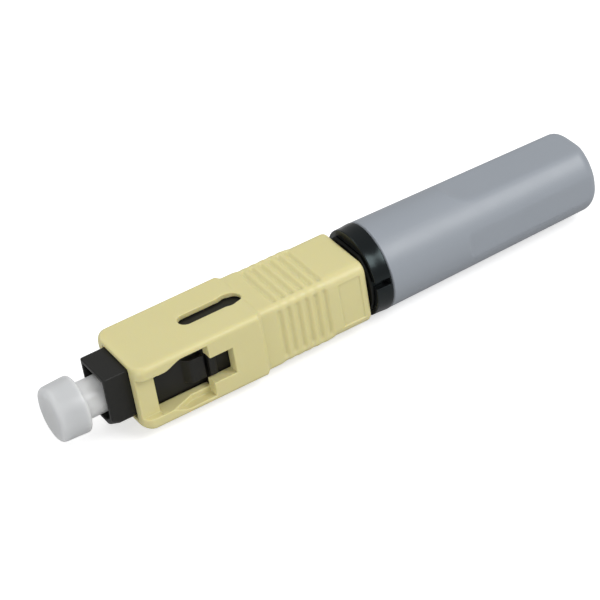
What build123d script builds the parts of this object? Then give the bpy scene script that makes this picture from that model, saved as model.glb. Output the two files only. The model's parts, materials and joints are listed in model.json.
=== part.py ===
from build123d import *
import os
from math import cos, radians, sin

os.makedirs("parts", exist_ok=True)

# Millimetres. The origin is the centre of the ferrule's end face. +X runs along the optical axis
# towards the cable, +Y is across, and +Z points away from the keyed side.

# Clearances
running_fit = 0.05
close_fit = 0.02
sliding_gap = 0.10
face_gap = 0.05
free_gap = 0.30

# Travels
housing_back_travel = 0.20
housing_forward_travel = 1.50
ferrule_travel = 1.00
splice_lift = 0.12
cam_angle = 90

# Dust cap
cap_front = -3.68
cap_head_length = 3.14
cap_front_radius = 2.88
cap_rear_radius = 3.00
cap_edge = 0.40
cap_stem_radius = 1.93
cap_stem_clearance = 0.50

# Ferrule and fibre
ferrule_radius = 1.25
ferrule_length = 10.5
ferrule_bevel = 0.40
fibre_radius = 0.0625
fibre_play = 0.003
grip_length = 3.15
collar_radius = 2.00
collar_length = 1.40
flange_tail = 2.10
flange_wall = 0.29
flange_slot_count = 4
flange_slot_width = 0.60
flange_slot_depth = 0.25

# Splice
holder_radius = 1.55
holder_bore = 0.35
splice_length = 7.6
splice_width = 1.70
splice_height = 0.90
splice_seam = 0.065
plank_gap = 0.025
groove_depth = 0.13
splice_setback = 0.60
keel_width = 0.70
keel_length = 3.9
holder_tail = 1.5
lead_in_radius = 0.90
lead_in_bore = 0.50
lead_in_length = 4.4
lead_in_lip = 0.10
funnel_length = 1.0

# Spring
wire_radius = 0.16
wire_sides = 6
spring_turns = 8

# Plug frame
tip_beyond_frame = 1.45
frame_beyond_housing = 2.60
frame_width = 5.00
frame_height = 6.00
frame_wall = 0.48
key_corner_height = 2.38
key_corner_width = 1.80
mouth_corner_height = 1.95
mouth_corner_width = 1.35
mouth_length = 0.90
web_thickness = 1.20
frame_rear_width = 6.00
frame_rear_length = 12.15
frame_rear_corner = 0.50
frame_bore = 2.10
boss_length = 1.50
boss_ramp = 0.70
boss_reach = 3.30
boss_half_height = 1.35
tab_length = 0.80
tab_reach = 3.90

# Outer housing
housing_width = 9.00
housing_height = 7.40
housing_length = 26.15
housing_front_length = 13.89
grip_width = 8.20
grip_height = 7.17
housing_corner = 0.61
step_slope = 0.50
nose_radius = 1.20
nose_top_inset = 0.25
nose_corner = 1.20
nose_steps = 6
bar_length = 2.05
bar_recess = 0.80
bar_half_height = 2.33
window_ramp_start = 3.00
window_ramp_end = 4.90
window_half_height = 3.00
window_length = 7.80
wedge_start = 3.10
wedge_end = 5.60
wedge_reach = 3.45
neck_half_height = 1.50
slot_start = 7.20
slot_length = 6.95
slot_width = 1.76
slot_notch_station = 12.72
slot_notch_radius = 1.03
first_groove = 16.15
groove_pitch = 1.03
groove_count = 6
groove_radius = 0.35
groove_cut = 0.14
top_groove_length = 6.80
side_groove_length = 5.60
panel_start = 22.90
panel_length = 2.45
panel_height = 5.00
panel_depth = 0.12
rib_width = 2.10
rib_height = 0.70
rib_start = 1.80
rear_edge = 0.40

# Rear body
nose_length = 4.50
neck_radius = 2.95
backbone_radius = 2.70
stop_radius = 4.08
stop_height = 6.70
stop_thickness = 0.30
spigot_radius = 2.40
spigot_length = 3.55
snap_width = 1.40
snap_length = 1.00
snap_reach = 2.60

# Cam ring
band_radius = 4.65
band_length = 1.34
lip_radius = 4.80
lip_length = 0.50
cam_sleeve_radius = 3.60
cam_sleeve_length = 5.72
cam_reach = 3.15
keel_clearance = 0.06
keel_edge_angle = 12
relief_setback = 1.95
relief_steps = 8
index_width = 0.70
index_depth = 0.80
index_angle = 171

# Tail body, collet, washer
tail_length = 7.6
tail_collar_radius = 3.10
tail_collar_length = 1.80
thread_radius = 3.30
thread_runout = 0.40
tail_passage = 1.35
collet_seat_depth = 1.40
cable_bore = 1.60
collet_base_radius = 2.22
collet_flange_radius = 2.90
collet_flange_length = 0.60
collet_root_radius = 2.85
collet_tip_radius = 2.20
finger_length = 5.35
finger_slot_width = 0.50
finger_slot_count = 4
washer_thickness = 0.60
washer_setback = 0.80

# Boot nut and grommet
boot_length = 25.5
boot_front_radius = 4.69
boot_rear_radius = 4.27
boot_edge = 1.00
boot_front_edge = 0.15
flats_start = 8.86
flats_runout = 1.00
top_flat_depth = 0.65
side_flat_depth = 0.22
boot_web = 1.00
grommet_radius = 2.68
grommet_length = 3.90
grommet_recess = 0.20
grommet_flare = 0.40

# Stations along the axis
frame_front = tip_beyond_frame
housing_front = frame_front + frame_beyond_housing
housing_step = housing_front + housing_front_length
housing_rear = housing_front + housing_length
window_rear = housing_front + window_length
frame_shoulder = window_rear + housing_back_travel + face_gap
frame_rear = frame_shoulder + frame_rear_length
neck_rear = frame_shoulder + tab_length + housing_forward_travel + face_gap
flange_front = ferrule_length - grip_length
web_rear = flange_front - face_gap
web_front = web_rear - web_thickness
flange_rear = ferrule_length + flange_tail
nose_front = frame_rear - nose_length
stop_front = housing_rear + housing_back_travel + face_gap
stop_rear = stop_front + stop_thickness
cam_front = stop_rear + face_gap
lip_front = cam_front + band_length
band_rear = lip_front + lip_length
cam_rear = band_rear + cam_sleeve_length
backbone_rear = cam_rear + face_gap
spigot_rear = backbone_rear + spigot_length
splice_front = cam_front + splice_setback
splice_rear = splice_front + splice_length
fibre_rear = (splice_front + splice_rear) / 2
relief_front = cam_front + relief_setback
keel_front = relief_front + free_gap
keel_rear = keel_front + keel_length
keel_way_front = keel_front - free_gap
keel_way_rear = keel_rear + ferrule_travel + free_gap
tail_rear = backbone_rear + tail_length
collet_seat = tail_rear - collet_seat_depth
finger_root = tail_rear + face_gap + collet_flange_length
finger_tip = finger_root + finger_length
washer_front = finger_tip - washer_setback
washer_rear = washer_front + washer_thickness
boot_front = band_rear + face_gap
boot_rear = boot_front + boot_length
shoulder_front = washer_rear + face_gap
grommet_rear = boot_rear - grommet_recess
grommet_front = grommet_rear - grommet_length
boot_web_front = grommet_front - close_fit - boot_web

# Radii that follow from the fits
backbone_bore = holder_radius + running_fit
cam_bore = backbone_radius + running_fit
housing_bore = neck_radius + sliding_gap
spring_radius = holder_radius + sliding_gap + wire_radius
boot_cavity = cam_sleeve_radius + free_gap
thread_bore = thread_radius + running_fit
cable_way = cable_bore + free_gap
finger_taper = (collet_root_radius - collet_tip_radius) / finger_length
washer_bore = collet_tip_radius + finger_taper * washer_setback + running_fit
washer_radius = thread_bore - free_gap
boot_chamber = washer_radius + running_fit


def axial_outline(*points):
    """Face between (station, distance) points in the plane of the optical axis and +Z."""
    with BuildSketch(Plane.XZ) as sketch:
        with BuildLine():
            Polyline(*points, close=True)
        make_face()
    return sketch.sketch


def section(station):
    """Plane across the axis at a station."""
    return Plane.YZ.offset(station)


# Dust cap: head, stem and a blind bore over the ferrule
cap_head_rear = cap_front + cap_head_length
cap_rear = web_front - cap_stem_clearance
with BuildPart() as dust_cap:
    revolve(
        axial_outline(
            (cap_front, 0),
            (cap_front, cap_front_radius),
            (cap_head_rear, cap_rear_radius),
            (cap_head_rear, 0),
        ),
        axis=Axis.X,
    )
    fillet(dust_cap.edges().filter_by(GeomType.CIRCLE), cap_edge)
    with BuildSketch(section(cap_head_rear)):
        Circle(cap_stem_radius)
    extrude(amount=cap_rear - cap_head_rear)
    with BuildSketch(section(cap_rear)):
        Circle(ferrule_radius + running_fit)
    extrude(amount=-(cap_rear + free_gap), mode=Mode.SUBTRACT)
dust_cap.part.label = "dust_cap"
export_step(dust_cap.part, "parts/dust_cap.step")


# Ferrule: bevelled ceramic cylinder with a fine through bore
with BuildPart() as ferrule:
    revolve(
        axial_outline(
            (0, fibre_radius + fibre_play),
            (0, ferrule_radius - ferrule_bevel),
            (ferrule_bevel, ferrule_radius),
            (ferrule_length, ferrule_radius),
            (ferrule_length, fibre_radius + fibre_play),
        ),
        axis=Axis.X,
    )
ferrule.part.label = "ferrule"
export_step(ferrule.part, "parts/ferrule.step")


# Fibre stub: flush with the ferrule's end face, and ends halfway along the splice
with BuildPart() as fibre_stub:
    with BuildSketch(section(0)):
        Circle(fibre_radius)
    extrude(amount=fibre_rear)
fibre_stub.part.label = "fibre_stub"
export_step(fibre_stub.part, "parts/fibre_stub.step")


# Ferrule flange: collar that seats on the frame's web, with a tail for the splice holder
flange_bore = ferrule_radius + close_fit / 2
flange_radius = flange_bore + flange_wall
collar_rear = flange_front + collar_length
with BuildPart() as ferrule_flange:
    revolve(
        axial_outline(
            (flange_front, flange_bore),
            (flange_front, collar_radius),
            (collar_rear, collar_radius),
            (collar_rear, flange_radius),
            (flange_rear, flange_radius),
            (flange_rear, flange_bore),
        ),
        axis=Axis.X,
    )
    with BuildSketch(section(flange_front)):
        with PolarLocations(collar_radius, flange_slot_count, start_angle=45):
            Rectangle(2 * flange_slot_depth, flange_slot_width)
    extrude(amount=collar_length, mode=Mode.SUBTRACT)
ferrule_flange.part.label = "ferrule_flange"
export_step(ferrule_flange.part, "parts/ferrule_flange.step")


# Ferrule spring: open coil of six-sided wire between the collar and the backbone's nose
spring_front = collar_rear + face_gap + wire_radius
spring_rear = nose_front - face_gap - wire_radius
spring_pitch = (spring_rear - spring_front) / spring_turns
with BuildPart() as ferrule_spring:
    with BuildLine() as coil:
        Helix(spring_pitch, spring_rear - spring_front, spring_radius, (spring_front, 0, 0), (1, 0, 0))
    with BuildSketch(Plane(origin=coil.line @ 0, z_dir=coil.line % 0)):
        RegularPolygon(wire_radius, wire_sides)
    sweep(is_frenet=True)
ferrule_spring.part.label = "ferrule_spring"
export_step(ferrule_spring.part, "parts/ferrule_spring.step")


# Splice holder: tube with an open-topped channel for the two splice halves
channel_half_width = splice_width / 2 + close_fit
channel_front = splice_front - sliding_gap
channel_rear = splice_rear + sliding_gap
holder_rear = channel_rear + holder_tail
holder_spigot = ferrule_radius - close_fit / 2
with BuildPart() as splice_holder:
    revolve(
        axial_outline(
            (ferrule_length + face_gap, holder_bore),
            (ferrule_length + face_gap, holder_spigot),
            (flange_rear + close_fit, holder_spigot),
            (flange_rear + close_fit, holder_radius),
            (holder_rear, holder_radius),
            (holder_rear, lead_in_radius + close_fit),
            (channel_rear, lead_in_radius + close_fit),
            (channel_rear, holder_bore),
        ),
        axis=Axis.X,
    )
    with BuildSketch(Plane.XY.offset(-splice_height - close_fit)):
        with Locations(((channel_front + channel_rear) / 2, 0)):
            Rectangle(channel_rear - channel_front, 2 * channel_half_width)
    extrude(amount=2 * holder_radius, mode=Mode.SUBTRACT)
    with BuildSketch(Plane.XY):
        with Locations(((keel_front + keel_rear) / 2, 0)):
            Rectangle(keel_length + 2 * sliding_gap, keel_width + 2 * close_fit)
    extrude(amount=-2 * holder_radius, mode=Mode.SUBTRACT)
splice_holder.part.label = "splice_holder"
export_step(splice_holder.part, "parts/splice_holder.step")


# Splice base: grooved lower half, open at rest, with the keel that the cam lifts
base_top = splice_seam - plank_gap - splice_lift
keel_bottom = -cam_reach
with BuildPart() as splice_base:
    with BuildSketch(section(splice_front)):
        with Locations((0, (base_top - splice_height) / 2)):
            Rectangle(splice_width, base_top + splice_height)
        with BuildLine():
            Polyline(
                (-groove_depth, base_top),
                (0, base_top - groove_depth),
                (groove_depth, base_top),
                close=True,
            )
        make_face(mode=Mode.SUBTRACT)
    extrude(amount=splice_length)
    with BuildSketch(Plane.XY.offset(keel_bottom)):
        with Locations(((keel_front + keel_rear) / 2, 0)):
            Rectangle(keel_length, keel_width)
    extrude(amount=-keel_bottom - splice_height + close_fit)
splice_base.part.label = "splice_base"
export_step(splice_base.part, "parts/splice_base.step")


# Splice lid: plain upper half
with BuildPart() as splice_lid:
    with BuildSketch(section(splice_front)):
        with Locations((0, (splice_seam + splice_height) / 2)):
            Rectangle(splice_width, splice_height - splice_seam)
    extrude(amount=splice_length)
splice_lid.part.label = "splice_lid"
export_step(splice_lid.part, "parts/splice_lid.step")


# Lead-in tube: funnel that guides the incoming fibre
lead_in_front = channel_rear + close_fit
lead_in_rear = lead_in_front + lead_in_length
with BuildPart() as lead_in_tube:
    revolve(
        axial_outline(
            (lead_in_front, lead_in_bore),
            (lead_in_front, lead_in_radius),
            (lead_in_rear, lead_in_radius),
            (lead_in_rear, lead_in_radius - lead_in_lip),
            (lead_in_rear - funnel_length, lead_in_bore),
        ),
        axis=Axis.X,
    )
lead_in_tube.part.label = "lead_in_tube"
export_step(lead_in_tube.part, "parts/lead_in_tube.step")


# Plug frame: keyed box with an open mouth, latch bosses, travel tabs and a web for the flange
frame_half = frame_width / 2


def frame_outline(station, corner_width, corner_height, wall=0.0):
    """Frame's section at a station, its two keyed corners cut off, less a wall's thickness."""
    with BuildSketch(section(station)) as sketch:
        with BuildLine():
            Polyline(
                (-frame_half, frame_height / 2),
                (frame_half, frame_height / 2),
                (frame_half, -corner_height),
                (corner_width, -frame_height / 2),
                (-corner_width, -frame_height / 2),
                (-frame_half, -corner_height),
                close=True,
            )
        make_face()
        if wall:
            offset(amount=-wall, mode=Mode.REPLACE)
    return sketch.sketch


frame_mouth = frame_outline(frame_front, mouth_corner_width, mouth_corner_height)
mouth_rear = frame_outline(frame_front + mouth_length, key_corner_width, key_corner_height)
frame_cavity = frame_outline(frame_front, mouth_corner_width, mouth_corner_height, frame_wall)
with BuildPart() as plug_frame:
    loft([frame_mouth, mouth_rear], ruled=True)
    extrude(mouth_rear, amount=frame_shoulder - frame_front - mouth_length)
    with BuildSketch(section(frame_shoulder)):
        RectangleRounded(frame_rear_width, frame_height, frame_rear_corner)
    extrude(amount=frame_rear_length)
    with BuildSketch(Plane.XY):
        for side in (1, -1):
            with BuildLine():
                Polyline(
                    (window_rear - sliding_gap - boss_length - boss_ramp, side * (frame_half - frame_wall)),
                    (window_rear - sliding_gap - boss_length - boss_ramp, side * frame_half),
                    (window_rear - sliding_gap - boss_length, side * boss_reach),
                    (window_rear - sliding_gap, side * boss_reach),
                    (window_rear - sliding_gap, side * (frame_half - frame_wall)),
                    close=True,
                )
            make_face()
    extrude(amount=boss_half_height, both=True)
    with BuildSketch(Plane.XY):
        for side in (1, -1):
            with Locations((frame_shoulder + tab_length / 2, side * tab_reach / 2)):
                Rectangle(tab_length, tab_reach)
    extrude(amount=neck_half_height - 2 * sliding_gap, both=True)
    extrude(frame_cavity, amount=web_front - frame_front, mode=Mode.SUBTRACT)
    with BuildSketch(section(web_front)):
        Circle(ferrule_radius + running_fit)
    extrude(amount=web_thickness, mode=Mode.SUBTRACT)
    with BuildSketch(section(web_rear)):
        Circle(frame_bore)
    extrude(amount=frame_rear - web_rear, mode=Mode.SUBTRACT)
    with BuildSketch(Plane.XY):
        with Locations((frame_rear - nose_length / 2, 0)):
            Rectangle(snap_length + 2 * sliding_gap, snap_width + 2 * sliding_gap)
    extrude(amount=frame_height, both=True, mode=Mode.SUBTRACT)
plug_frame.part.label = "plug_frame"
export_step(plug_frame.part, "parts/plug_frame.step")


# Outer housing: nose, front body, sloped step and grip, then the openings
grooves = [housing_front + first_groove + groove_pitch * i for i in range(groove_count)]
groove_offset = groove_radius - groove_cut
channel_width = frame_width + 2 * sliding_gap
grip_channel_width = frame_rear_width + 2 * sliding_gap
channel_height = frame_height + 2 * sliding_gap
grip_channel_rear = frame_rear + housing_forward_travel + sliding_gap
slope_front = housing_step - step_slope / 2
slope_rear = housing_step + step_slope / 2
with BuildPart() as hook_pockets:
    extrude(
        axial_outline(
            (housing_front + window_ramp_start, -bar_half_height),
            (housing_front + window_ramp_end, -window_half_height),
            (window_rear, -window_half_height),
            (window_rear, window_half_height),
            (housing_front + window_ramp_end, window_half_height),
            (housing_front + window_ramp_start, bar_half_height),
        ),
        amount=housing_width,
        both=True,
    )
    with BuildSketch(Plane.XY):
        with BuildLine():
            Polyline(
                (housing_front + wedge_start, -housing_width / 2),
                (housing_front + wedge_end, -wedge_reach),
                (window_rear, -wedge_reach),
                (window_rear, wedge_reach),
                (housing_front + wedge_end, wedge_reach),
                (housing_front + wedge_start, housing_width / 2),
                (housing_front, housing_width / 2),
                (housing_front, -housing_width / 2),
                close=True,
            )
        make_face()
    extrude(amount=housing_height, both=True, mode=Mode.SUBTRACT)

with BuildPart() as outer_housing:
    for step in range(nose_steps + 1):
        angle = radians(90 * step / nose_steps)
        short = 1 - sin(angle)
        with BuildSketch(section(housing_front + nose_radius * (1 - cos(angle)))):
            RectangleRounded(
                housing_width - 2 * nose_radius * short,
                housing_height - 2 * nose_top_inset * short,
                housing_corner + (nose_corner - housing_corner) * short,
            )
    loft(ruled=True)
    with BuildSketch(section(housing_front + nose_radius)):
        RectangleRounded(housing_width, housing_height, housing_corner)
    extrude(amount=slope_front - housing_front - nose_radius)
    with BuildSketch(section(slope_front)):
        RectangleRounded(housing_width, housing_height, housing_corner)
    with BuildSketch(section(slope_rear)):
        RectangleRounded(grip_width, grip_height, housing_corner)
    loft(ruled=True)
    with BuildSketch(section(slope_rear)):
        RectangleRounded(grip_width, grip_height, housing_corner)
    extrude(amount=housing_rear - slope_rear)
    fillet(outer_housing.faces().sort_by(Axis.X)[-1].edges(), rear_edge)
    extrude(
        axial_outline(
            (housing_front + rib_start, -housing_height / 2 + frame_wall),
            (housing_front + rib_start, -housing_height / 2),
            (housing_front + rib_start + rib_height, -housing_height / 2 - rib_height),
            (slope_front, -housing_height / 2 - rib_height),
            (slope_front, -housing_height / 2 + frame_wall),
        ),
        amount=rib_width / 2,
        both=True,
    )
    with BuildSketch(section(housing_front)):
        Rectangle(channel_width, channel_height)
    extrude(amount=window_length, mode=Mode.SUBTRACT)
    with BuildSketch(section(window_rear)):
        Rectangle(grip_channel_width, channel_height)
    extrude(amount=grip_channel_rear - window_rear, mode=Mode.SUBTRACT)
    with BuildSketch(section(grip_channel_rear)):
        Circle(housing_bore)
    extrude(amount=housing_rear - grip_channel_rear, mode=Mode.SUBTRACT)
    extrude(
        axial_outline(
            (housing_front + bar_length, -bar_half_height),
            (window_rear, -bar_half_height),
            (window_rear, -neck_half_height),
            (neck_rear, -neck_half_height),
            (neck_rear, neck_half_height),
            (window_rear, neck_half_height),
            (window_rear, bar_half_height),
            (housing_front + bar_length, bar_half_height),
        ),
        amount=housing_width,
        both=True,
        mode=Mode.SUBTRACT,
    )
    add(hook_pockets.part, mode=Mode.SUBTRACT)
    with BuildSketch(section(housing_front)):
        for side in (1, -1):
            with Locations((side * housing_width / 2, 0)):
                Rectangle(2 * bar_recess, 2 * bar_half_height)
    extrude(amount=bar_length, mode=Mode.SUBTRACT)
    with BuildSketch(Plane.XY):
        with Locations((housing_front + slot_start + slot_length / 2, 0)):
            SlotOverall(slot_length, slot_width)
        with Locations((housing_front + slot_notch_station, 0)):
            Circle(slot_notch_radius)
    extrude(amount=housing_height, mode=Mode.SUBTRACT)
    for face_side in (1, -1):
        with Locations([(x, 0, face_side * (grip_height / 2 + groove_offset)) for x in grooves]):
            Cylinder(groove_radius, top_groove_length, rotation=(90, 0, 0), mode=Mode.SUBTRACT)
        with Locations([(x, face_side * (grip_width / 2 + groove_offset), 0) for x in grooves]):
            Cylinder(groove_radius, side_groove_length, mode=Mode.SUBTRACT)
        with Locations((housing_front + panel_start + panel_length / 2, face_side * grip_width / 2, 0)):
            Box(panel_length, 2 * panel_depth, panel_height, mode=Mode.SUBTRACT)
outer_housing.part.label = "outer_housing"
export_step(outer_housing.part, "parts/outer_housing.step")


# Rear body: nose that snaps into the frame, stop plate, cam journal and spigot
plug_in_radius = frame_bore - close_fit
with BuildPart() as rear_body:
    revolve(
        axial_outline(
            (nose_front, backbone_bore),
            (nose_front, plug_in_radius),
            (frame_rear + face_gap, plug_in_radius),
            (frame_rear + face_gap, neck_radius),
            (stop_rear, neck_radius),
            (stop_rear, backbone_radius),
            (backbone_rear, backbone_radius),
            (backbone_rear, spigot_radius),
            (spigot_rear, spigot_radius),
            (spigot_rear, backbone_bore),
        ),
        axis=Axis.X,
    )
    with BuildSketch(section(stop_front)):
        Circle(stop_radius)
        Rectangle(2 * stop_radius, stop_height, mode=Mode.INTERSECT)
        Circle(backbone_radius, mode=Mode.SUBTRACT)
    extrude(amount=stop_thickness)
    with BuildSketch(Plane.XY.offset(snap_reach)):
        with Locations((frame_rear - nose_length / 2, 0)):
            Rectangle(snap_length, snap_width)
    extrude(amount=plug_in_radius - snap_reach - running_fit)
    with BuildSketch(Plane.XY.offset(-snap_reach)):
        with Locations((frame_rear - nose_length / 2, 0)):
            Rectangle(snap_length, snap_width)
    extrude(amount=snap_reach - plug_in_radius + running_fit)
    with BuildSketch(Plane.XY):
        with Locations(((keel_way_front + keel_way_rear) / 2, 0)):
            Rectangle(keel_way_rear - keel_way_front, keel_width + 2 * running_fit)
    extrude(amount=-cam_reach, mode=Mode.SUBTRACT)
rear_body.part.label = "rear_body"
export_step(rear_body.part, "parts/rear_body.step")


# Cam ring: visible band and lip, and a sleeve whose spiral relief lifts the keel as it turns
relief_turn = cam_angle + 2 * keel_edge_angle


def relief_point(step):
    """Point of the spiral: its radius falls by the splice lift over the cam's angle."""
    turn = relief_turn * step / relief_steps - keel_edge_angle
    radius = cam_reach + keel_clearance - splice_lift * turn / cam_angle
    angle = radians(-90 - turn)
    return (radius * cos(angle), radius * sin(angle))


with BuildPart() as cam_ring:
    revolve(
        axial_outline(
            (cam_front, cam_bore),
            (cam_front, band_radius),
            (lip_front, band_radius),
            (lip_front, lip_radius),
            (band_rear, lip_radius),
            (band_rear, cam_sleeve_radius),
            (cam_rear, cam_sleeve_radius),
            (cam_rear, cam_bore),
        ),
        axis=Axis.X,
    )
    with BuildSketch(section(relief_front)):
        with BuildLine():
            spiral = Spline(*[relief_point(step) for step in range(relief_steps + 1)])
            Line(spiral @ 1, (0, 0))
            Line((0, 0), spiral @ 0)
        make_face()
    extrude(amount=cam_rear - relief_front, mode=Mode.SUBTRACT)
    index_y = (band_radius - index_depth / 2) * cos(radians(index_angle))
    index_z = (band_radius - index_depth / 2) * sin(radians(index_angle))
    with BuildSketch(section(cam_front)):
        with Locations(Location((index_y, index_z, 0), (0, 0, index_angle))):
            Rectangle(index_depth + 2 * running_fit, index_width)
    extrude(amount=band_length, mode=Mode.SUBTRACT)
cam_ring.part.label = "cam_ring"
export_step(cam_ring.part, "parts/cam_ring.step")


# Tail body: fixed on the spigot, it keeps the cam ring on, carries the thread and seats the collet
thread_front = backbone_rear + tail_collar_length
with BuildPart() as tail_body:
    revolve(
        axial_outline(
            (backbone_rear + close_fit, spigot_radius + close_fit),
            (backbone_rear + close_fit, tail_collar_radius),
            (thread_front, tail_collar_radius),
            (thread_front, thread_radius),
            (tail_rear - thread_runout, thread_radius),
            (tail_rear - thread_runout, tail_collar_radius),
            (tail_rear, tail_collar_radius),
            (tail_rear, collet_base_radius + close_fit),
            (collet_seat, collet_base_radius + close_fit),
            (collet_seat, tail_passage),
            (spigot_rear + face_gap, tail_passage),
            (spigot_rear + face_gap, spigot_radius + close_fit),
        ),
        axis=Axis.X,
    )
tail_body.part.label = "tail_body"
export_step(tail_body.part, "parts/tail_body.step")


# Cable collet: base, flange and tapered fingers parted by slots
with BuildPart() as cable_collet:
    revolve(
        axial_outline(
            (collet_seat + face_gap, cable_bore),
            (collet_seat + face_gap, collet_base_radius),
            (tail_rear + face_gap, collet_base_radius),
            (tail_rear + face_gap, collet_flange_radius),
            (finger_root, collet_flange_radius),
            (finger_root, collet_root_radius),
            (finger_tip, collet_tip_radius),
            (finger_tip, cable_bore),
        ),
        axis=Axis.X,
    )
    with BuildSketch(section(finger_root + free_gap)):
        with PolarLocations(collet_root_radius, finger_slot_count, start_angle=45):
            Rectangle(2 * collet_root_radius, finger_slot_width)
    extrude(amount=finger_length, mode=Mode.SUBTRACT)
cable_collet.part.label = "cable_collet"
export_step(cable_collet.part, "parts/cable_collet.step")


# Thrust washer: between the boot nut's shoulder and the collet's fingers
with BuildPart() as thrust_washer:
    with BuildSketch(section(washer_front)):
        Circle(washer_radius)
        Circle(washer_bore, mode=Mode.SUBTRACT)
    extrude(amount=washer_thickness)
thrust_washer.part.label = "thrust_washer"
export_step(thrust_washer.part, "parts/thrust_washer.step")


# Boot nut: tapered sleeve with four flats on its rear part, bored in steps from both ends
cavity_rear = thread_front - free_gap
flats_front = boot_front + flats_start + flats_runout
boot_draft = (boot_front_radius - boot_rear_radius) / boot_length
flat_front_radius = boot_front_radius - boot_draft * (flats_start + flats_runout)
flat_depths = (top_flat_depth, side_flat_depth, top_flat_depth, side_flat_depth)
with BuildPart() as boot_nut:
    revolve(
        axial_outline(
            (boot_front, 0),
            (boot_front, boot_front_radius),
            (boot_rear, boot_rear_radius),
            (boot_rear, 0),
        ),
        axis=Axis.X,
    )
    fillet(boot_nut.faces().sort_by(Axis.X)[-1].edges(), boot_edge)
    chamfer(boot_nut.faces().sort_by(Axis.X)[0].edges(), boot_front_edge)
    for quarter, depth in enumerate(flat_depths):
        with BuildSketch(Plane.XZ.rotated((90 * quarter, 0, 0))):
            with BuildLine():
                RadiusArc(
                    (flats_front - flats_runout, flat_front_radius - depth + flats_runout),
                    (flats_front, flat_front_radius - depth),
                    -flats_runout,
                )
                Line(
                    (flats_front, flat_front_radius - depth),
                    (boot_rear - boot_edge, boot_rear_radius - depth),
                )
                RadiusArc(
                    (boot_rear - boot_edge, boot_rear_radius - depth),
                    (boot_rear, boot_rear_radius - depth - boot_edge),
                    boot_edge,
                )
                Polyline(
                    (boot_rear, boot_rear_radius - depth - boot_edge),
                    (boot_rear, flat_front_radius - depth + flats_runout),
                    (flats_front - flats_runout, flat_front_radius - depth + flats_runout),
                )
            make_face()
        extrude(amount=boot_front_radius, both=True, mode=Mode.SUBTRACT)
    revolve(
        axial_outline(
            (boot_front, 0),
            (boot_front, boot_cavity),
            (cavity_rear, boot_cavity),
            (cavity_rear, thread_bore),
            (tail_rear, thread_bore),
            (tail_rear, boot_chamber),
            (shoulder_front, boot_chamber),
            (shoulder_front, collet_tip_radius + free_gap),
            (boot_web_front, collet_tip_radius + free_gap),
            (boot_web_front, cable_way),
            (grommet_front - close_fit, cable_way),
            (grommet_front - close_fit, grommet_radius + close_fit),
            (boot_rear, grommet_radius + close_fit),
            (boot_rear, 0),
        ),
        axis=Axis.X,
        mode=Mode.SUBTRACT,
    )
boot_nut.part.label = "boot_nut"
export_step(boot_nut.part, "parts/boot_nut.step")


# Rear grommet: soft bush in the cable entry, flared at its mouth
with BuildPart() as rear_grommet:
    revolve(
        axial_outline(
            (grommet_front, cable_bore),
            (grommet_front, grommet_radius),
            (grommet_rear, grommet_radius),
            (grommet_rear, cable_bore + grommet_flare),
            (grommet_rear - grommet_flare, cable_bore),
        ),
        axis=Axis.X,
    )
rear_grommet.part.label = "rear_grommet"
export_step(rear_grommet.part, "parts/rear_grommet.step")
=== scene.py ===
"""Looks of a fibre optic field connector: dust cap, frame, sliding housing, cam ring and screw-on boot."""
import json
from contextlib import contextmanager
from math import acos, cos, pi, radians, sin, sqrt, tan, tau

import bmesh
import bpy
import numpy as np
from mathutils import Matrix, Vector


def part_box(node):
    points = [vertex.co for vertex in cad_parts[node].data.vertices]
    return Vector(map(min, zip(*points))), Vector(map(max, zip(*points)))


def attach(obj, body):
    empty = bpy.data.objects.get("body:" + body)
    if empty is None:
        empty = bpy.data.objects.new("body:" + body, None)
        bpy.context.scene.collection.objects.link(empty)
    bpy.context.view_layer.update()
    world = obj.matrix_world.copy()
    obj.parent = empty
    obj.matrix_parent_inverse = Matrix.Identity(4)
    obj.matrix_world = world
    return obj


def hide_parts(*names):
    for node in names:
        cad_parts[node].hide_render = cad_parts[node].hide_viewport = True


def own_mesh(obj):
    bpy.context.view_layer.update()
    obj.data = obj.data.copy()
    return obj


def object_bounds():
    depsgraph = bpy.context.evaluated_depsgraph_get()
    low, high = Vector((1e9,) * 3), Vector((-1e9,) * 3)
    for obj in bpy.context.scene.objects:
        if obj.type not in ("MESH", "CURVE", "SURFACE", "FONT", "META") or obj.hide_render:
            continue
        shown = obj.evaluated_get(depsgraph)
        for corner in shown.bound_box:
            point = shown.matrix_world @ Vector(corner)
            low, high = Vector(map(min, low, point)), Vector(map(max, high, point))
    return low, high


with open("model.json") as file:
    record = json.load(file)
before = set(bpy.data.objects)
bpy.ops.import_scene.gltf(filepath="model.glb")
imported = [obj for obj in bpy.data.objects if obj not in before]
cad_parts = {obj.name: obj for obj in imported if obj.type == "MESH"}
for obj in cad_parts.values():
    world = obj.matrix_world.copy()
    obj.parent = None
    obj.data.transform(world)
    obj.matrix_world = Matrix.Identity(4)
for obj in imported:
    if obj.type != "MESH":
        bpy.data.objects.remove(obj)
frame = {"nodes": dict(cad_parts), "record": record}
cad_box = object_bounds()
nodes = frame["nodes"]

# Sizes are in millimetres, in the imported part's frame: +X runs towards the cable, and the axis is Y = Z = 0.
# Each piece's sizes stand before it. A place is counted along X from the piece's own front.
MM = 0.001


# Node tree helpers

def add_node(tree, kind, inputs=None, **settings):
    """Add a node, set its properties, then fill its inputs with values or links."""
    made = tree.nodes.new(kind)
    for name, value in settings.items():
        setattr(made, name, value)
    for key, value in (inputs or {}).items():
        if isinstance(value, bpy.types.NodeSocket):
            tree.links.new(value, made.inputs[key])
        else:
            made.inputs[key].default_value = value
    return made


def maths(tree, operation, *values):
    return add_node(tree, "ShaderNodeMath", dict(enumerate(values)), operation=operation).outputs[0]


def blend_colours(tree, factor, first, second):
    return add_node(tree, "ShaderNodeMix", {0: factor, 6: first, 7: second}, data_type="RGBA").outputs[2]


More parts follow.
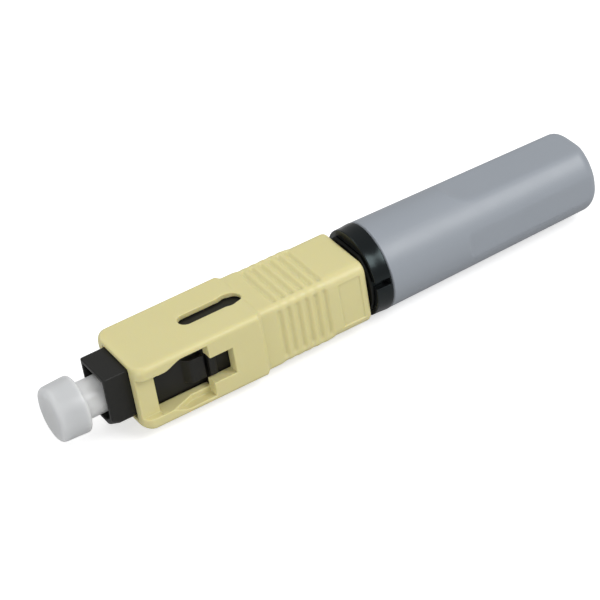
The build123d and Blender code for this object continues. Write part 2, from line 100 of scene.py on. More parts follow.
def object_place(tree):
    return add_node(tree, "ShaderNodeTexCoord").outputs["Object"]


def noise(tree, place, scale, detail, distortion=0.0):
    inputs = {"Vector": place, "Scale": scale, "Detail": detail, "Distortion": distortion}
    return add_node(tree, "ShaderNodeTexNoise", inputs).outputs["Fac"]


def bumped(tree, shader, height, depth):
    """Let a height between 0 and 1 tilt a shader's surface by the given depth in metres."""
    bump = add_node(tree, "ShaderNodeBump", {"Height": height, "Distance": depth, "Strength": 1.0})
    tree.links.new(bump.outputs["Normal"], shader.inputs["Normal"])


def new_group(name, kind, inputs, outputs):
    """Node group with named inputs (name, socket type, default) and outputs (name, socket type)."""
    tree = bpy.data.node_groups.new(name, kind)
    for label, socket, default in inputs:
        made = tree.interface.new_socket(label, in_out="INPUT", socket_type=socket)
        if default is not None:
            made.default_value = default
    for label, socket in outputs:
        tree.interface.new_socket(label, in_out="OUTPUT", socket_type=socket)
    return tree, tree.nodes.new("NodeGroupInput").outputs, tree.nodes.new("NodeGroupOutput").inputs


def use_group(tree, group, inputs):
    return add_node(tree, "ShaderNodeGroup", inputs, node_tree=group).outputs[0]


def rgba(red, green, blue):
    return (red, green, blue, 1.0)


def grey(value):
    return rgba(value, value, value)


# Effects that several finishes share. Scales are per metre, depths and widths in metres.
GRAIN_SCALE = 9000.0
SINK_SCALE = 260.0
DRIFT_SCALE = 170.0
SPECKLE_SCALE = 5200.0
SMUDGE_SCALE = 420.0
EDGE_BREAKUP_SCALE = 700.0
EDGE_GAIN = 5.0
RUBBED_GLOSS = 0.12
SKIN_DEPTH = 0.000012
TURNED_DEPTH = 0.000004
TURNED_ACROSS = 60.0
TURNED_EDGE = 0.00006


def make_edge_rub_and_highlight():
    """Mask of the convex edges, for the wear that handling rubs into them and for a painted highlight along
    them, broken up by a fine noise.
    """
    tree, given, result = new_group(
        "edge_rub_and_highlight", "ShaderNodeTree",
        [("Width", "NodeSocketFloat", 0.0001), ("Amount", "NodeSocketFloat", 1.0)],
        [("Mask", "NodeSocketFloat")],
    )
    rounded = add_node(tree, "ShaderNodeBevel", {"Radius": given["Width"]}, samples=4).outputs["Normal"]
    flat = add_node(tree, "ShaderNodeNewGeometry").outputs["Normal"]
    likeness = add_node(tree, "ShaderNodeVectorMath", {0: rounded, 1: flat}, operation="DOT_PRODUCT")
    edge = maths(tree, "MULTIPLY", maths(tree, "SUBTRACT", 1.0, likeness.outputs["Value"]), EDGE_GAIN)
    broken = maths(tree, "MULTIPLY", edge, noise(tree, object_place(tree), EDGE_BREAKUP_SCALE, 2.0))
    mask = maths(tree, "MULTIPLY", broken, given["Amount"])
    tree.links.new(maths(tree, "MINIMUM", mask, 1.0), result["Mask"])
    return tree


def make_mould_skin():
    """Height of a moulded surface: fine spark-eroded grain over slow sink marks."""
    tree, given, result = new_group(
        "mould_skin", "ShaderNodeTree",
        [("Grain Scale", "NodeSocketFloat", GRAIN_SCALE), ("Grain", "NodeSocketFloat", 0.5),
         ("Sink", "NodeSocketFloat", 0.5)],
        [("Height", "NodeSocketFloat")],
    )
    place = object_place(tree)
    grain = maths(tree, "MULTIPLY", noise(tree, place, given["Grain Scale"], 2.0), given["Grain"])
    sink = maths(tree, "MULTIPLY", noise(tree, place, SINK_SCALE, 1.0), given["Sink"])
    tree.links.new(maths(tree, "ADD", grain, sink), result["Height"])
    return tree


def make_tone_drift():
    """Colour with the slow drift of a filled plastic and a little speckle of its pigment."""
    tree, given, result = new_group(
        "tone_drift", "ShaderNodeTree",
        [("Colour", "NodeSocketColor", grey(0.5)), ("Shade", "NodeSocketColor", grey(0.4)),
         ("Drift", "NodeSocketFloat", 0.3), ("Speckle", "NodeSocketFloat", 0.1)],
        [("Colour", "NodeSocketColor")],
    )
    place = object_place(tree)
    slow = maths(tree, "MULTIPLY", noise(tree, place, DRIFT_SCALE, 2.0), given["Drift"])
    fine = maths(tree, "MULTIPLY", noise(tree, place, SPECKLE_SCALE, 1.0), given["Speckle"])
    share = maths(tree, "ADD", slow, fine)
    tree.links.new(blend_colours(tree, share, given["Colour"], given["Shade"]), result["Colour"])
    return tree


def make_handling():
    """Roughness with the faint smudges that fingers leave."""
    tree, given, result = new_group(
        "handling", "ShaderNodeTree",
        [("Roughness", "NodeSocketFloat", 0.4), ("Smudge", "NodeSocketFloat", 0.1)],
        [("Roughness", "NodeSocketFloat")],
    )
    smudge = noise(tree, object_place(tree), SMUDGE_SCALE, 4.0, distortion=0.8)
    centred = maths(tree, "MULTIPLY", maths(tree, "SUBTRACT", smudge, 0.5), given["Smudge"])
    tree.links.new(maths(tree, "ADD", given["Roughness"], centred), result["Roughness"])
    return tree


EDGE_RUB_AND_HIGHLIGHT = make_edge_rub_and_highlight()
MOULD_SKIN = make_mould_skin()
TONE_DRIFT = make_tone_drift()
HANDLING = make_handling()


def new_material(name):
    material = bpy.data.materials.new(name)
    material.use_nodes = True
    return material, material.node_tree, material.node_tree.nodes["Principled BSDF"]


def moulded(name, colour, shade, worn, roughness, grain=0.5, sink=0.4, smudge=0.12, wear=0.5,
            edge_width=0.00014, grain_scale=GRAIN_SCALE, **surface):
    """Moulded plastic: drifting tone, grained skin, smudged gloss, and rubbed edges whose lighter colour is
    partly wear and partly a painted highlight.
    """
    material, tree, shader = new_material(name)
    tone = use_group(tree, TONE_DRIFT, {
        "Colour": rgba(*colour), "Shade": rgba(*shade), "Drift": 0.35, "Speckle": 0.12,
    })
    rubbed_and_highlit = use_group(tree, EDGE_RUB_AND_HIGHLIGHT, {"Width": edge_width, "Amount": wear})
    height = use_group(tree, MOULD_SKIN, {"Grain Scale": grain_scale, "Grain": grain, "Sink": sink})
    gloss = use_group(tree, HANDLING, {"Roughness": roughness, "Smudge": smudge})
    # Edges take a lighter colour: partly rubbed wear, partly a painted highlight.
    tree.links.new(blend_colours(tree, rubbed_and_highlit, tone, rgba(*worn)), shader.inputs["Base Color"])
    polished = maths(tree, "SUBTRACT", gloss, maths(tree, "MULTIPLY", rubbed_and_highlit, RUBBED_GLOSS))
    tree.links.new(polished, shader.inputs["Roughness"])
    bumped(tree, shader, height, SKIN_DEPTH)
    for key, value in surface.items():
        shader.inputs[key.replace("_", " ")].default_value = value
    return material


def turned_metal(name, colour, shade, roughness, ring_scale):
    """Metal with the fine rings that turning leaves around the axis, drifting tarnish, and lighter edges that
    are partly rubbed and partly a painted highlight.
    """
    material, tree, shader = new_material(name)
    stretch = (ring_scale, TURNED_ACROSS, TURNED_ACROSS)
    stretched = add_node(tree, "ShaderNodeMapping", {"Vector": object_place(tree), "Scale": stretch})
    rings = noise(tree, stretched.outputs[0], 1.0, 2.0)
    tone = use_group(tree, TONE_DRIFT, {
        "Colour": rgba(*colour), "Shade": rgba(*shade), "Drift": 0.5, "Speckle": 0.1,
    })
    rubbed_and_highlit = use_group(tree, EDGE_RUB_AND_HIGHLIGHT, {"Width": TURNED_EDGE, "Amount": 0.6})
    gloss = use_group(tree, HANDLING, {"Roughness": roughness, "Smudge": 0.15})
    # Edges take a lighter colour: partly rubbed wear, partly a painted highlight.
    tree.links.new(blend_colours(tree, rubbed_and_highlit, tone, rgba(0.86, 0.85, 0.82)), shader.inputs["Base Color"])
    ringed = maths(tree, "ADD", gloss, maths(tree, "MULTIPLY", rings, 0.08))
    tree.links.new(ringed, shader.inputs["Roughness"])
    bumped(tree, shader, rings, TURNED_DEPTH)
    shader.inputs["Metallic"].default_value = 1.0
    return material


def clear_glass(name, colour, shade, roughness, index):
    """Bare glass, with a trace of waviness in its gloss."""
    material, tree, shader = new_material(name)
    tone = use_group(tree, TONE_DRIFT, {
        "Colour": rgba(*colour), "Shade": rgba(*shade), "Drift": 0.3, "Speckle": 0.0,
    })
    gloss = use_group(tree, HANDLING, {"Roughness": roughness, "Smudge": 0.03})
    tree.links.new(tone, shader.inputs["Base Color"])
    tree.links.new(gloss, shader.inputs["Roughness"])
    shader.inputs["IOR"].default_value = index
    shader.inputs["Transmission Weight"].default_value = 0.9
    return material


# Moulded finishes: colours are linear, and the names with capitals are the shader's own sockets. The edge
# colour is partly wear and partly a painted highlight along the edges.
MOULDED = {
    "cap_white": dict(
        colour=(0.555, 0.565, 0.57), shade=(0.52, 0.53, 0.535), worn=(0.64, 0.65, 0.66), roughness=0.30,
        grain=0.2, sink=0.25, smudge=0.05, wear=0.0, Specular_IOR_Level=0.42,
        Subsurface_Weight=0.92, Subsurface_Radius=(1.0, 1.0, 1.05), Subsurface_Scale=0.0024,
    ),
    "frame_black": dict(
        colour=(0.0125, 0.0125, 0.0115), shade=(0.019, 0.019, 0.0175), worn=(0.06, 0.063, 0.067),
        roughness=0.36, grain=0.7, wear=0.6, Specular_IOR_Level=0.24,
    ),
    "housing_beige": dict(
        colour=(0.69, 0.632, 0.318), shade=(0.62, 0.562, 0.270), worn=(0.80, 0.76, 0.50), roughness=0.40,
        grain=0.45, wear=0.5, edge_width=0.00013,
        Subsurface_Weight=0.30, Subsurface_Radius=(1.0, 0.75, 0.25), Subsurface_Scale=0.0008,
    ),
    "backbone_black": dict(
        colour=(0.010, 0.011, 0.010), shade=(0.013, 0.014, 0.013), worn=(0.03, 0.032, 0.03), roughness=0.42,
        wear=0.3, Specular_IOR_Level=0.14,
    ),
    "ring_black": dict(
        colour=(0.006, 0.0068, 0.0072), shade=(0.010, 0.011, 0.012), worn=(0.04, 0.045, 0.05), roughness=0.22,
        grain=0.3, wear=0.3, Specular_IOR_Level=0.26, Specular_Tint=rgba(0.78, 0.98, 1.0),
    ),
    "boot_grey": dict(
        colour=(0.298, 0.325, 0.362), shade=(0.265, 0.290, 0.324), worn=(0.46, 0.49, 0.53), roughness=0.42,
        grain=0.5, wear=0.35,
    ),
    "ceramic": dict(
        colour=(0.84, 0.83, 0.78), shade=(0.80, 0.78, 0.72), worn=(0.90, 0.89, 0.85), roughness=0.12,
        grain=0.06, sink=0.05, smudge=0.04, wear=0.2,
        Subsurface_Weight=0.25, Subsurface_Radius=(1.0, 0.9, 0.8), Subsurface_Scale=0.0004,
    ),
    "splice_plastic": dict(
        colour=(0.60, 0.58, 0.50), shade=(0.54, 0.52, 0.44), worn=(0.70, 0.68, 0.60), roughness=0.42,
        grain=0.3, Subsurface_Weight=0.2, Subsurface_Radius=(1.0, 0.9, 0.7), Subsurface_Scale=0.0005,
    ),
    "lead_in_clear": dict(
        colour=(0.66, 0.72, 0.75), shade=(0.58, 0.65, 0.69), worn=(0.75, 0.80, 0.83), roughness=0.18,
        grain=0.15, Subsurface_Weight=0.5, Subsurface_Radius=(1.0, 1.0, 1.1), Subsurface_Scale=0.0006,
    ),
    "collet_black": dict(
        colour=(0.022, 0.022, 0.022), shade=(0.034, 0.034, 0.034), worn=(0.10, 0.10, 0.10), roughness=0.42,
        wear=0.7,
    ),
    "washer_white": dict(
        colour=(0.74, 0.74, 0.71), shade=(0.67, 0.67, 0.64), worn=(0.82, 0.82, 0.80), roughness=0.30,
        grain=0.2, Subsurface_Weight=0.3, Subsurface_Radius=(1.0, 1.0, 0.95), Subsurface_Scale=0.0005,
    ),
    "grommet_rubber": dict(
        colour=(0.024, 0.024, 0.026), shade=(0.034, 0.034, 0.036), worn=(0.06, 0.06, 0.06), roughness=0.62,
        grain=0.9, smudge=0.2, wear=0.3, grain_scale=6000.0, Sheen_Weight=0.15,
    ),
}
FINISHES = {name: moulded(name, **look) for name, look in MOULDED.items()}
FINISHES["flange_metal"] = turned_metal("flange_metal", (0.62, 0.60, 0.55), (0.50, 0.48, 0.43), 0.24, 9000.0)
FINISHES["spring_steel"] = turned_metal("spring_steel", (0.56, 0.56, 0.56), (0.42, 0.42, 0.43), 0.28, 2500.0)
FINISHES["fibre_glass"] = clear_glass("fibre_glass", (0.93, 0.97, 0.98), (0.80, 0.90, 0.92), 0.05, 1.46)

STEM_FADE = (-0.0012, 0.0002)  # metres along X, just inside the head
# Painted light: the colour that the stem is lightened to
STEM_PAINTED_LIGHT = (0.80, 0.81, 0.82)


def paint_stem_lighter():
    """The cap's thin stem lets more light through than its solid head; that light is painted in, as a lighter
    white colour on the stem.
    """
    tree = FINISHES["cap_white"].node_tree
    colour = tree.nodes["Principled BSDF"].inputs["Base Color"]
    along = add_node(tree, "ShaderNodeSeparateXYZ", {0: object_place(tree)}).outputs["X"]
    fade = {"Value": along, "From Min": STEM_FADE[0], "From Max": STEM_FADE[1]}
    stem = add_node(tree, "ShaderNodeMapRange", fade, interpolation_type="SMOOTHSTEP").outputs["Result"]
    painted_lighter = blend_colours(tree, stem, colour.links[0].from_socket, rgba(*STEM_PAINTED_LIGHT))
    tree.links.new(painted_lighter, colour)


paint_stem_lighter()
SLOTS = {entry["node"]: entry["material_slot"] for entry in frame["record"]["subparts"]}
BODIES = {name: body for body, names in frame["record"]["behaviour"]["bodies"].items() for name in names}


# Mesh helpers

def ends(node):
    """Front and rear of a CAD node along the axis, in millimetres."""
    low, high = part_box(node)
    return low.x / MM, high.x / MM


def add_object(name, mesh):
    piece = bpy.data.objects.new(name, mesh)
    bpy.context.scene.collection.objects.link(piece)
    return piece


@contextmanager
def edited(mesh):
    """Open a mesh for editing and write it back."""
    shell = bmesh.new()
    shell.from_mesh(mesh)
    yield shell
    shell.to_mesh(mesh)
    shell.free()


def settle(piece):
    """Turn a piece and its modifiers into a plain mesh."""
    bpy.context.view_layer.update()
    evaluated = piece.evaluated_get(bpy.context.evaluated_depsgraph_get())
    mesh = bpy.data.meshes.new_from_object(evaluated)
    piece.modifiers.clear()
    piece.data = mesh
    return piece


def smooth_but_crisp(piece, angle=radians(38)):
    """Smooth shading that stays crisp across sharper edges, with the roundings alone carrying the bend."""
    with edited(piece.data) as shell:
        for face in shell.faces:
            face.smooth = True
        for edge in shell.edges:
            edge.smooth = len(edge.link_faces) == 2 and edge.calc_face_angle() < angle
    weighted = piece.modifiers.new("normals", "WEIGHTED_NORMAL")
    weighted.weight = 50
    weighted.keep_sharp = True
    return settle(piece)


def softened(node, width):
    """Copy of a CAD piece whose sharp edges are rounded, as a mould or a tumbler leaves them."""
    mesh = nodes[node].data.copy()
    with edited(mesh) as shell:
        bmesh.ops.remove_doubles(shell, verts=shell.verts, dist=0.000001)
        bmesh.ops.dissolve_limit(shell, angle_limit=radians(0.4), verts=shell.verts, edges=shell.edges)
    piece = add_object(node + "_finished", mesh)
    bevel = piece.modifiers.new("edges", "BEVEL")
    bevel.width = width * MM
    bevel.segments = 2
    bevel.limit_method = "ANGLE"
    bevel.angle_limit = radians(33)
    bevel.use_clamp_overlap = False
    bevel.miter_outer = "MITER_ARC"
    return smooth_but_crisp(settle(piece))


def rounded_outline(corners, rounding, steps):
    """Points of a closed outline with rounded corners, each (x, radius) or (x, radius, its own rounding)."""
    most = 0.45  # of an edge
    points = []
    for i, corner in enumerate(corners):
        here = Vector(corner[:2])
        before = Vector(corners[i - 1][:2]) - here
        after = Vector(corners[(i + 1) % len(corners)][:2]) - here
        size = corner[2] if len(corner) > 2 else rounding
        if size <= 0 or here.y < 1e-6:
            points.append(here)
            continue
        half = before.angle(after) / 2
        bend = max(tan(half), 0.01) if half < pi / 2 - 0.01 else 99
        reach = min(size / bend, most * before.length, most * after.length)
        start = here + before.normalized() * reach
        end = here + after.normalized() * reach
        for step in range(steps + 1):
            t = step / steps
            points.append(start * (1 - t) ** 2 + here * 2 * t * (1 - t) + end * t * t)
    return points


def join_rings(shell, rings):
    """Faces from each ring to the next and from the last back to the first. A ring of one point is a pole."""
    count = max(len(ring) for ring in rings)
    for first, second in zip(rings, rings[1:] + rings[:1]):
        for i in range(count):
            j = (i + 1) % count
            corners = [ring[k % len(ring)] for ring, k in ((first, i), (first, j), (second, j), (second, i))]
            unique = list(dict.fromkeys(corners))
            if len(unique) > 2:
                shell.faces.new(unique)


def lathed(name, corners, rounding=0.06, segments=144, steps=4):
    """Piece turned about the X axis from a closed outline of (x, radius) corners in millimetres."""
    mesh = bpy.data.meshes.new(name)
    with edited(mesh) as shell:
        rings = []
        for x, radius in rounded_outline(corners, rounding, steps):
            turns = [tau * i / segments for i in range(segments)] if radius > 1e-6 else [0]
            rings.append([
                shell.verts.new((x * MM, radius * MM * cos(turn), radius * MM * sin(turn))) for turn in turns
            ])
        join_rings(shell, rings)
        bmesh.ops.recalc_face_normals(shell, faces=shell.faces)
    return smooth_but_crisp(add_object(name, mesh))


def join_meshes(name, pieces):
    """One piece from several that are a single moulding."""
    mesh = bpy.data.meshes.new(name)
    with edited(mesh) as shell:
        for piece in pieces:
            shell.from_mesh(piece.data)
            bpy.data.objects.remove(piece)
    return add_object(name, mesh)


def dress(piece, node):
    """Give a finished piece its material and let it stand for its CAD node."""
    slot = SLOTS[node]
    piece.data.materials.clear()
    piece.data.materials.append(FINISHES[slot])
    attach(piece, BODIES[node])
    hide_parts(node)
    return piece


# Rod wound about the axis: spring wire and screw threads
THINNEST_TIP = 0.04  # of the rod's own radius


def make_winding():
    """Rod along a helix about X, with closed turns at both ends and ends that can run out."""
    tree, given, result = new_group(
        "winding", "GeometryNodeTree",
        [("Front", "NodeSocketFloat", 0.0), ("Length", "NodeSocketFloat", 0.01),
         ("Radius", "NodeSocketFloat", 0.002), ("Turns", "NodeSocketFloat", 8.0),
         ("Closed Turns", "NodeSocketFloat", 0.0), ("Rod Radius", "NodeSocketFloat", 0.0002),
         ("Run-out", "NodeSocketFloat", 0.01), ("Steps", "NodeSocketInt", 400),
         ("Sides", "NodeSocketInt", 10), ("Material", "NodeSocketMaterial", None)],
        [("Geometry", "NodeSocketGeometry")],
    )
    line = add_node(tree, "GeometryNodeCurvePrimitiveLine").outputs["Curve"]
    fine = add_node(tree, "GeometryNodeResampleCurve", {"Curve": line, "Count": given["Steps"]})
    share = add_node(tree, "GeometryNodeSplineParameter").outputs["Factor"]
    turn = maths(tree, "MULTIPLY", share, given["Turns"])
    closed_turns = maths(tree, "MULTIPLY", given["Closed Turns"], 2.0)
    open_turns = maths(tree, "SUBTRACT", given["Turns"], closed_turns)
    closed_pitch = maths(tree, "MULTIPLY", given["Rod Radius"], 2.0)
    closed_length = maths(tree, "MULTIPLY", closed_turns, closed_pitch)
    open_pitch = maths(tree, "DIVIDE", maths(tree, "SUBTRACT", given["Length"], closed_length), open_turns)
    past_closed = maths(tree, "MAXIMUM", maths(tree, "SUBTRACT", turn, given["Closed Turns"]), 0.0)
    open_turn = maths(tree, "MINIMUM", past_closed, open_turns)
    closed_turn = maths(tree, "SUBTRACT", turn, open_turn)
    open_advance = maths(tree, "MULTIPLY", open_turn, open_pitch)
    closed_advance = maths(tree, "MULTIPLY", closed_turn, closed_pitch)
    angle = maths(tree, "MULTIPLY", turn, tau)
    place = add_node(tree, "ShaderNodeCombineXYZ", {
        "X": maths(tree, "ADD", given["Front"], maths(tree, "ADD", open_advance, closed_advance)),
        "Y": maths(tree, "MULTIPLY", maths(tree, "COSINE", angle), given["Radius"]),
        "Z": maths(tree, "MULTIPLY", maths(tree, "SINE", angle), given["Radius"]),
    }).outputs[0]
    helix = add_node(tree, "GeometryNodeSetPosition", {"Geometry": fine.outputs["Curve"], "Position": place})
    to_end = maths(tree, "MINIMUM", turn, maths(tree, "SUBTRACT", given["Turns"], turn))
    tip = maths(tree, "ADD", maths(tree, "DIVIDE", to_end, given["Run-out"]), THINNEST_TIP)
    rod = add_node(tree, "GeometryNodeCurvePrimitiveCircle", {
        "Resolution": given["Sides"], "Radius": given["Rod Radius"],
    })
    sweep = add_node(tree, "GeometryNodeCurveToMesh", {
        "Curve": helix.outputs["Geometry"], "Profile Curve": rod.outputs["Curve"],
        "Scale": maths(tree, "MINIMUM", tip, 1.0), "Fill Caps": True,
    })
    smooth = add_node(tree, "GeometryNodeSetShadeSmooth", {"Geometry": sweep.outputs["Mesh"]})
    real = add_node(tree, "GeometryNodeRealizeInstances", {"Geometry": smooth.outputs["Geometry"]})
    done = add_node(tree, "GeometryNodeSetMaterial", {
        "Geometry": real.outputs["Geometry"], "Material": given["Material"],
    })
    tree.links.new(done.outputs["Geometry"], result["Geometry"])
    return tree


WINDING = make_winding()


def grow(name, tree, values):
    """Run a geometry tree with named input values and keep the result as a plain mesh."""
    piece = add_object(name, bpy.data.meshes.new(name))
    modifier = piece.modifiers.new("shape", "NODES")
    modifier.node_group = tree
    keys = {item.name: item.identifier for item in tree.interface.items_tree if item.in_out == "INPUT"}
    for label, value in values.items():
        modifier[keys[label]] = value
    return settle(piece)


def wound(name, front, length, radius, rod, turns, steps, closed_turns=0.0, run_out=0.35):
    """Winding with its sizes in millimetres and its run-out in turns."""
    return grow(name, WINDING, {
        "Front": front * MM, "Length": length * MM, "Radius": radius * MM, "Rod Radius": rod * MM,
        "Turns": turns, "Closed Turns": closed_turns, "Run-out": run_out, "Steps": steps, "Sides": 12,
    })


# Dust cap: softly rounded head, a stem and a blind bore over the ferrule
CAP_FRONT, CAP_REAR = ends("dust_cap")
CAP_HEAD_LENGTH = 3.14
CAP_HEAD_FRONT_RADIUS = 2.88
CAP_HEAD_REAR_RADIUS = 3.00
CAP_STEM_RADIUS = 1.93
CAP_BORE_RADIUS = 1.30
CAP_BORE_BOTTOM = -0.30  # an X in the part's frame

dress(lathed("dust_cap_finished", [
    (CAP_FRONT, 0),
    (CAP_FRONT, CAP_HEAD_FRONT_RADIUS, 0.62),
    (CAP_FRONT + CAP_HEAD_LENGTH, CAP_HEAD_REAR_RADIUS, 0.40),
    (CAP_FRONT + CAP_HEAD_LENGTH, CAP_STEM_RADIUS, 0.16),
    (CAP_REAR, CAP_STEM_RADIUS, 0.14),
    (CAP_REAR, CAP_BORE_RADIUS, 0.10),
    (CAP_BORE_BOTTOM, CAP_BORE_RADIUS, 0.20),
    (CAP_BORE_BOTTOM, 0),
], rounding=0.1, steps=6), "dust_cap")

# Ferrule: ground cylinder with a bevelled, gently domed end
FERRULE_FRONT, FERRULE_REAR = ends("ferrule")
FERRULE_RADIUS = 1.25
FERRULE_BEVEL = 0.40
FERRULE_FACE_RADIUS = 0.45
FERRULE_FACE_DOME = 0.004
FERRULE_DOME = 0.020
FIBRE_HOLE_RADIUS = 0.0655

dress(lathed("ferrule_finished", [
    (FERRULE_FRONT, FIBRE_HOLE_RADIUS, 0),
    (FERRULE_FRONT + FERRULE_FACE_DOME, FERRULE_FACE_RADIUS, 0),
    (FERRULE_FRONT + FERRULE_DOME, FERRULE_RADIUS - FERRULE_BEVEL, 0.05),
    (FERRULE_FRONT + FERRULE_BEVEL, FERRULE_RADIUS, 0.12),
    (FERRULE_REAR, FERRULE_RADIUS, 0.05),
    (FERRULE_REAR, FIBRE_HOLE_RADIUS, 0),
]), "ferrule")

# Spring: round wire with a closed turn at each end. In the real connector it shortens as the ferrule floats
# back.
SPRING_FRONT, SPRING_REAR = ends("ferrule_spring")
SPRING_INSET = 0.16

spring = wound(
    "ferrule_spring_finished", SPRING_FRONT + SPRING_INSET, SPRING_REAR - SPRING_FRONT - 2 * SPRING_INSET,
    radius=1.79, rod=0.15, turns=8.0, steps=512, closed_turns=0.9, run_out=0.01,
)
dress(spring, "ferrule_spring")
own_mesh(spring)

# Tail body: collar, threaded barrel and the collet's seat
TAIL_FRONT, TAIL_REAR = ends("tail_body")
COLLAR_LENGTH = 1.78
COLLAR_RADIUS = 3.10
TAIL_BORE_RADIUS = 2.42
TAIL_BORE_DEPTH = 3.55
TAIL_NECK_RADIUS = 1.35
COLLET_SEAT_RADIUS = 2.24
COLLET_SEAT_DEPTH = 1.40
THREAD_FRONT = TAIL_FRONT + COLLAR_LENGTH
THREAD_PITCH = 1.25
THREAD_CORE = 3.02
THREAD_CREST = 3.30
THREAD_INSET = 0.20
THREAD_SHORT = 0.65
COLLAR_SLOPE = 0.05
TAIL_CHAMFER_LENGTH = 0.35
TAIL_CHAMFER_DEPTH = 0.25
TAIL_ROD = 0.27

tail_core = lathed("tail_core", [
    (TAIL_FRONT, TAIL_BORE_RADIUS),
    (TAIL_FRONT, COLLAR_RADIUS, 0.10),
    (THREAD_FRONT, COLLAR_RADIUS, 0.06),
    (THREAD_FRONT + COLLAR_SLOPE, THREAD_CORE, 0.02),
    (TAIL_REAR - TAIL_CHAMFER_LENGTH, THREAD_CORE, 0.10),
    (TAIL_REAR, THREAD_CORE - TAIL_CHAMFER_DEPTH, 0.10),
    (TAIL_REAR, COLLET_SEAT_RADIUS, 0.08),
    (TAIL_REAR - COLLET_SEAT_DEPTH, COLLET_SEAT_RADIUS, 0.05),
    (TAIL_REAR - COLLET_SEAT_DEPTH, TAIL_NECK_RADIUS, 0.10),
    (TAIL_FRONT + TAIL_BORE_DEPTH, TAIL_NECK_RADIUS, 0.05),
    (TAIL_FRONT + TAIL_BORE_DEPTH, TAIL_BORE_RADIUS, 0.05),
])
tail_thread = TAIL_REAR - THREAD_FRONT - THREAD_SHORT
tail_ridge = wound(
    "tail_ridge", THREAD_FRONT + THREAD_INSET, tail_thread,
    radius=THREAD_CREST - TAIL_ROD, rod=TAIL_ROD, turns=tail_thread / THREAD_PITCH, steps=360,
)
dress(join_meshes("tail_body_finished", [tail_core, tail_ridge]), "tail_body")

# Washer, grommet and lead-in tube: plain turned or moulded rings
WASHER_FRONT, WASHER_REAR = ends("thrust_washer")
WASHER_BORE = 2.347
WASHER_RADIUS = 3.05
GROMMET_FRONT, GROMMET_REAR = ends("rear_grommet")
GROMMET_RADIUS = 2.68
CABLE_BORE = 1.60
CABLE_FLARE = 0.40
TUBE_FRONT, TUBE_REAR = ends("lead_in_tube")
TUBE_BORE = 0.50
TUBE_MOUTH = 0.80
TUBE_RADIUS = 0.90
TUBE_FUNNEL = 1.0

dress(lathed("thrust_washer_finished", [
    (WASHER_FRONT, WASHER_BORE),
    (WASHER_FRONT, WASHER_RADIUS),
    (WASHER_REAR, WASHER_RADIUS),
    (WASHER_REAR, WASHER_BORE),
], rounding=0.08), "thrust_washer")
dress(lathed("rear_grommet_finished", [
    (GROMMET_FRONT, CABLE_BORE, 0.12),
    (GROMMET_FRONT, GROMMET_RADIUS, 0.15),
    (GROMMET_REAR, GROMMET_RADIUS, 0.22),
    (GROMMET_REAR, CABLE_BORE + CABLE_FLARE, 0.10),
    (GROMMET_REAR - CABLE_FLARE, CABLE_BORE, 0.30),
], steps=6), "rear_grommet")
dress(lathed("lead_in_tube_finished", [
    (TUBE_FRONT, TUBE_BORE, 0.05),
    (TUBE_FRONT, TUBE_RADIUS, 0.06),
    (TUBE_REAR, TUBE_RADIUS, 0.04),
    (TUBE_REAR, TUBE_MOUTH, 0.03),
    (TUBE_REAR - TUBE_FUNNEL, TUBE_BORE, 0.40),
], rounding=0.04, segments=72), "lead_in_tube")

# Boot nut: tapered sleeve whose rear part has four flats, bored in steps, with the thread inside
BOOT_FRONT, BOOT_REAR = ends("boot_nut")
BOOT_LENGTH = BOOT_REAR - BOOT_FRONT
BOOT_FRONT_RADIUS = 4.69
BOOT_REAR_RADIUS = 4.27
BOOT_CHAMFER = 0.15
ROUND_EDGE = 1.30
FLAT_EDGE = 1.00
TOP_EDGE_SHARE = 0.6
FLATS_START = 8.86
TOP_RUNOUT = 3.20
TOP_DEPTH = 0.65
TOP_BLEND = 0.22
SIDE_RUNOUT = 1.00
SIDE_DEPTH = 0.22
SIDE_BLEND = 0.09
NO_FLAT = 99.0
RUNOUT_DROP = 1.2
CAVITY_RADIUS = 3.90
CAVITY_OVERLAP = 0.30
THREAD_BORE = 3.35
CHAMBER_RADIUS = 3.10
CHAMBER_END = 19.17
FINGER_WAY_RADIUS = 2.50
WEB_FRONT = 20.38
WEB_REAR = 21.38
WEB_HOLE_RADIUS = 1.90
GROMMET_SEAT_RADIUS = 2.70


def soft_min(first, second, blend):
    """The lesser of two values, running smoothly from one to the other."""
    share = max(blend - abs(first - second), 0) / blend
    return min(first, second) - share * share * blend / 4


def boot_radius(place):
    """Radius of the boot's taper."""
    return BOOT_FRONT_RADIUS + (BOOT_REAR_RADIUS - BOOT_FRONT_RADIUS) * place / BOOT_LENGTH


def edge_loss(place, reach):
    """How far the rounded rear edge and the small front chamfer take the surface in."""
    past = (place - (BOOT_LENGTH - reach)) / reach
    if past > 0:
        return reach * (1 - sqrt(max(1 - past ** 2, 0)))
    return max(BOOT_CHAMFER - place, 0)


def flat_height(place, depth, runout):
    """Distance from the axis to a flat's surface, which rises out of the round part along its run-out."""
    height = boot_radius(place) - depth
    before = (FLATS_START + runout - place) / runout
    if before >= 1:
        return NO_FLAT
    if before > 0:
        return height + min(runout, RUNOUT_DROP + depth) * (1 - sqrt(1 - before ** 2))
    return height


def boot_angles(place):
    """Angles of one ring's points: the flats' edges get points of their own, so that they stay straight."""
    radius = boot_radius(max(place, FLATS_START + TOP_RUNOUT))
    top = pi / 2 - acos((radius - TOP_DEPTH) / radius)
    side = acos((radius - SIDE_DEPTH) / radius)
    close = radians(0.9)
    stops = [0, side - close, side, side + close, top - close, top, top + close, pi / 2]
    shares = [9, 1, 1, 10, 1, 1, 12]
    quarter = []
    for first, last, share in zip(stops, stops[1:], shares):
        quarter += [first + (last - first) * i / share for i in range(share)]
    upper = quarter + [pi - angle for angle in reversed(quarter[1:] + [pi / 2])]
    return upper + [angle + pi for angle in upper]


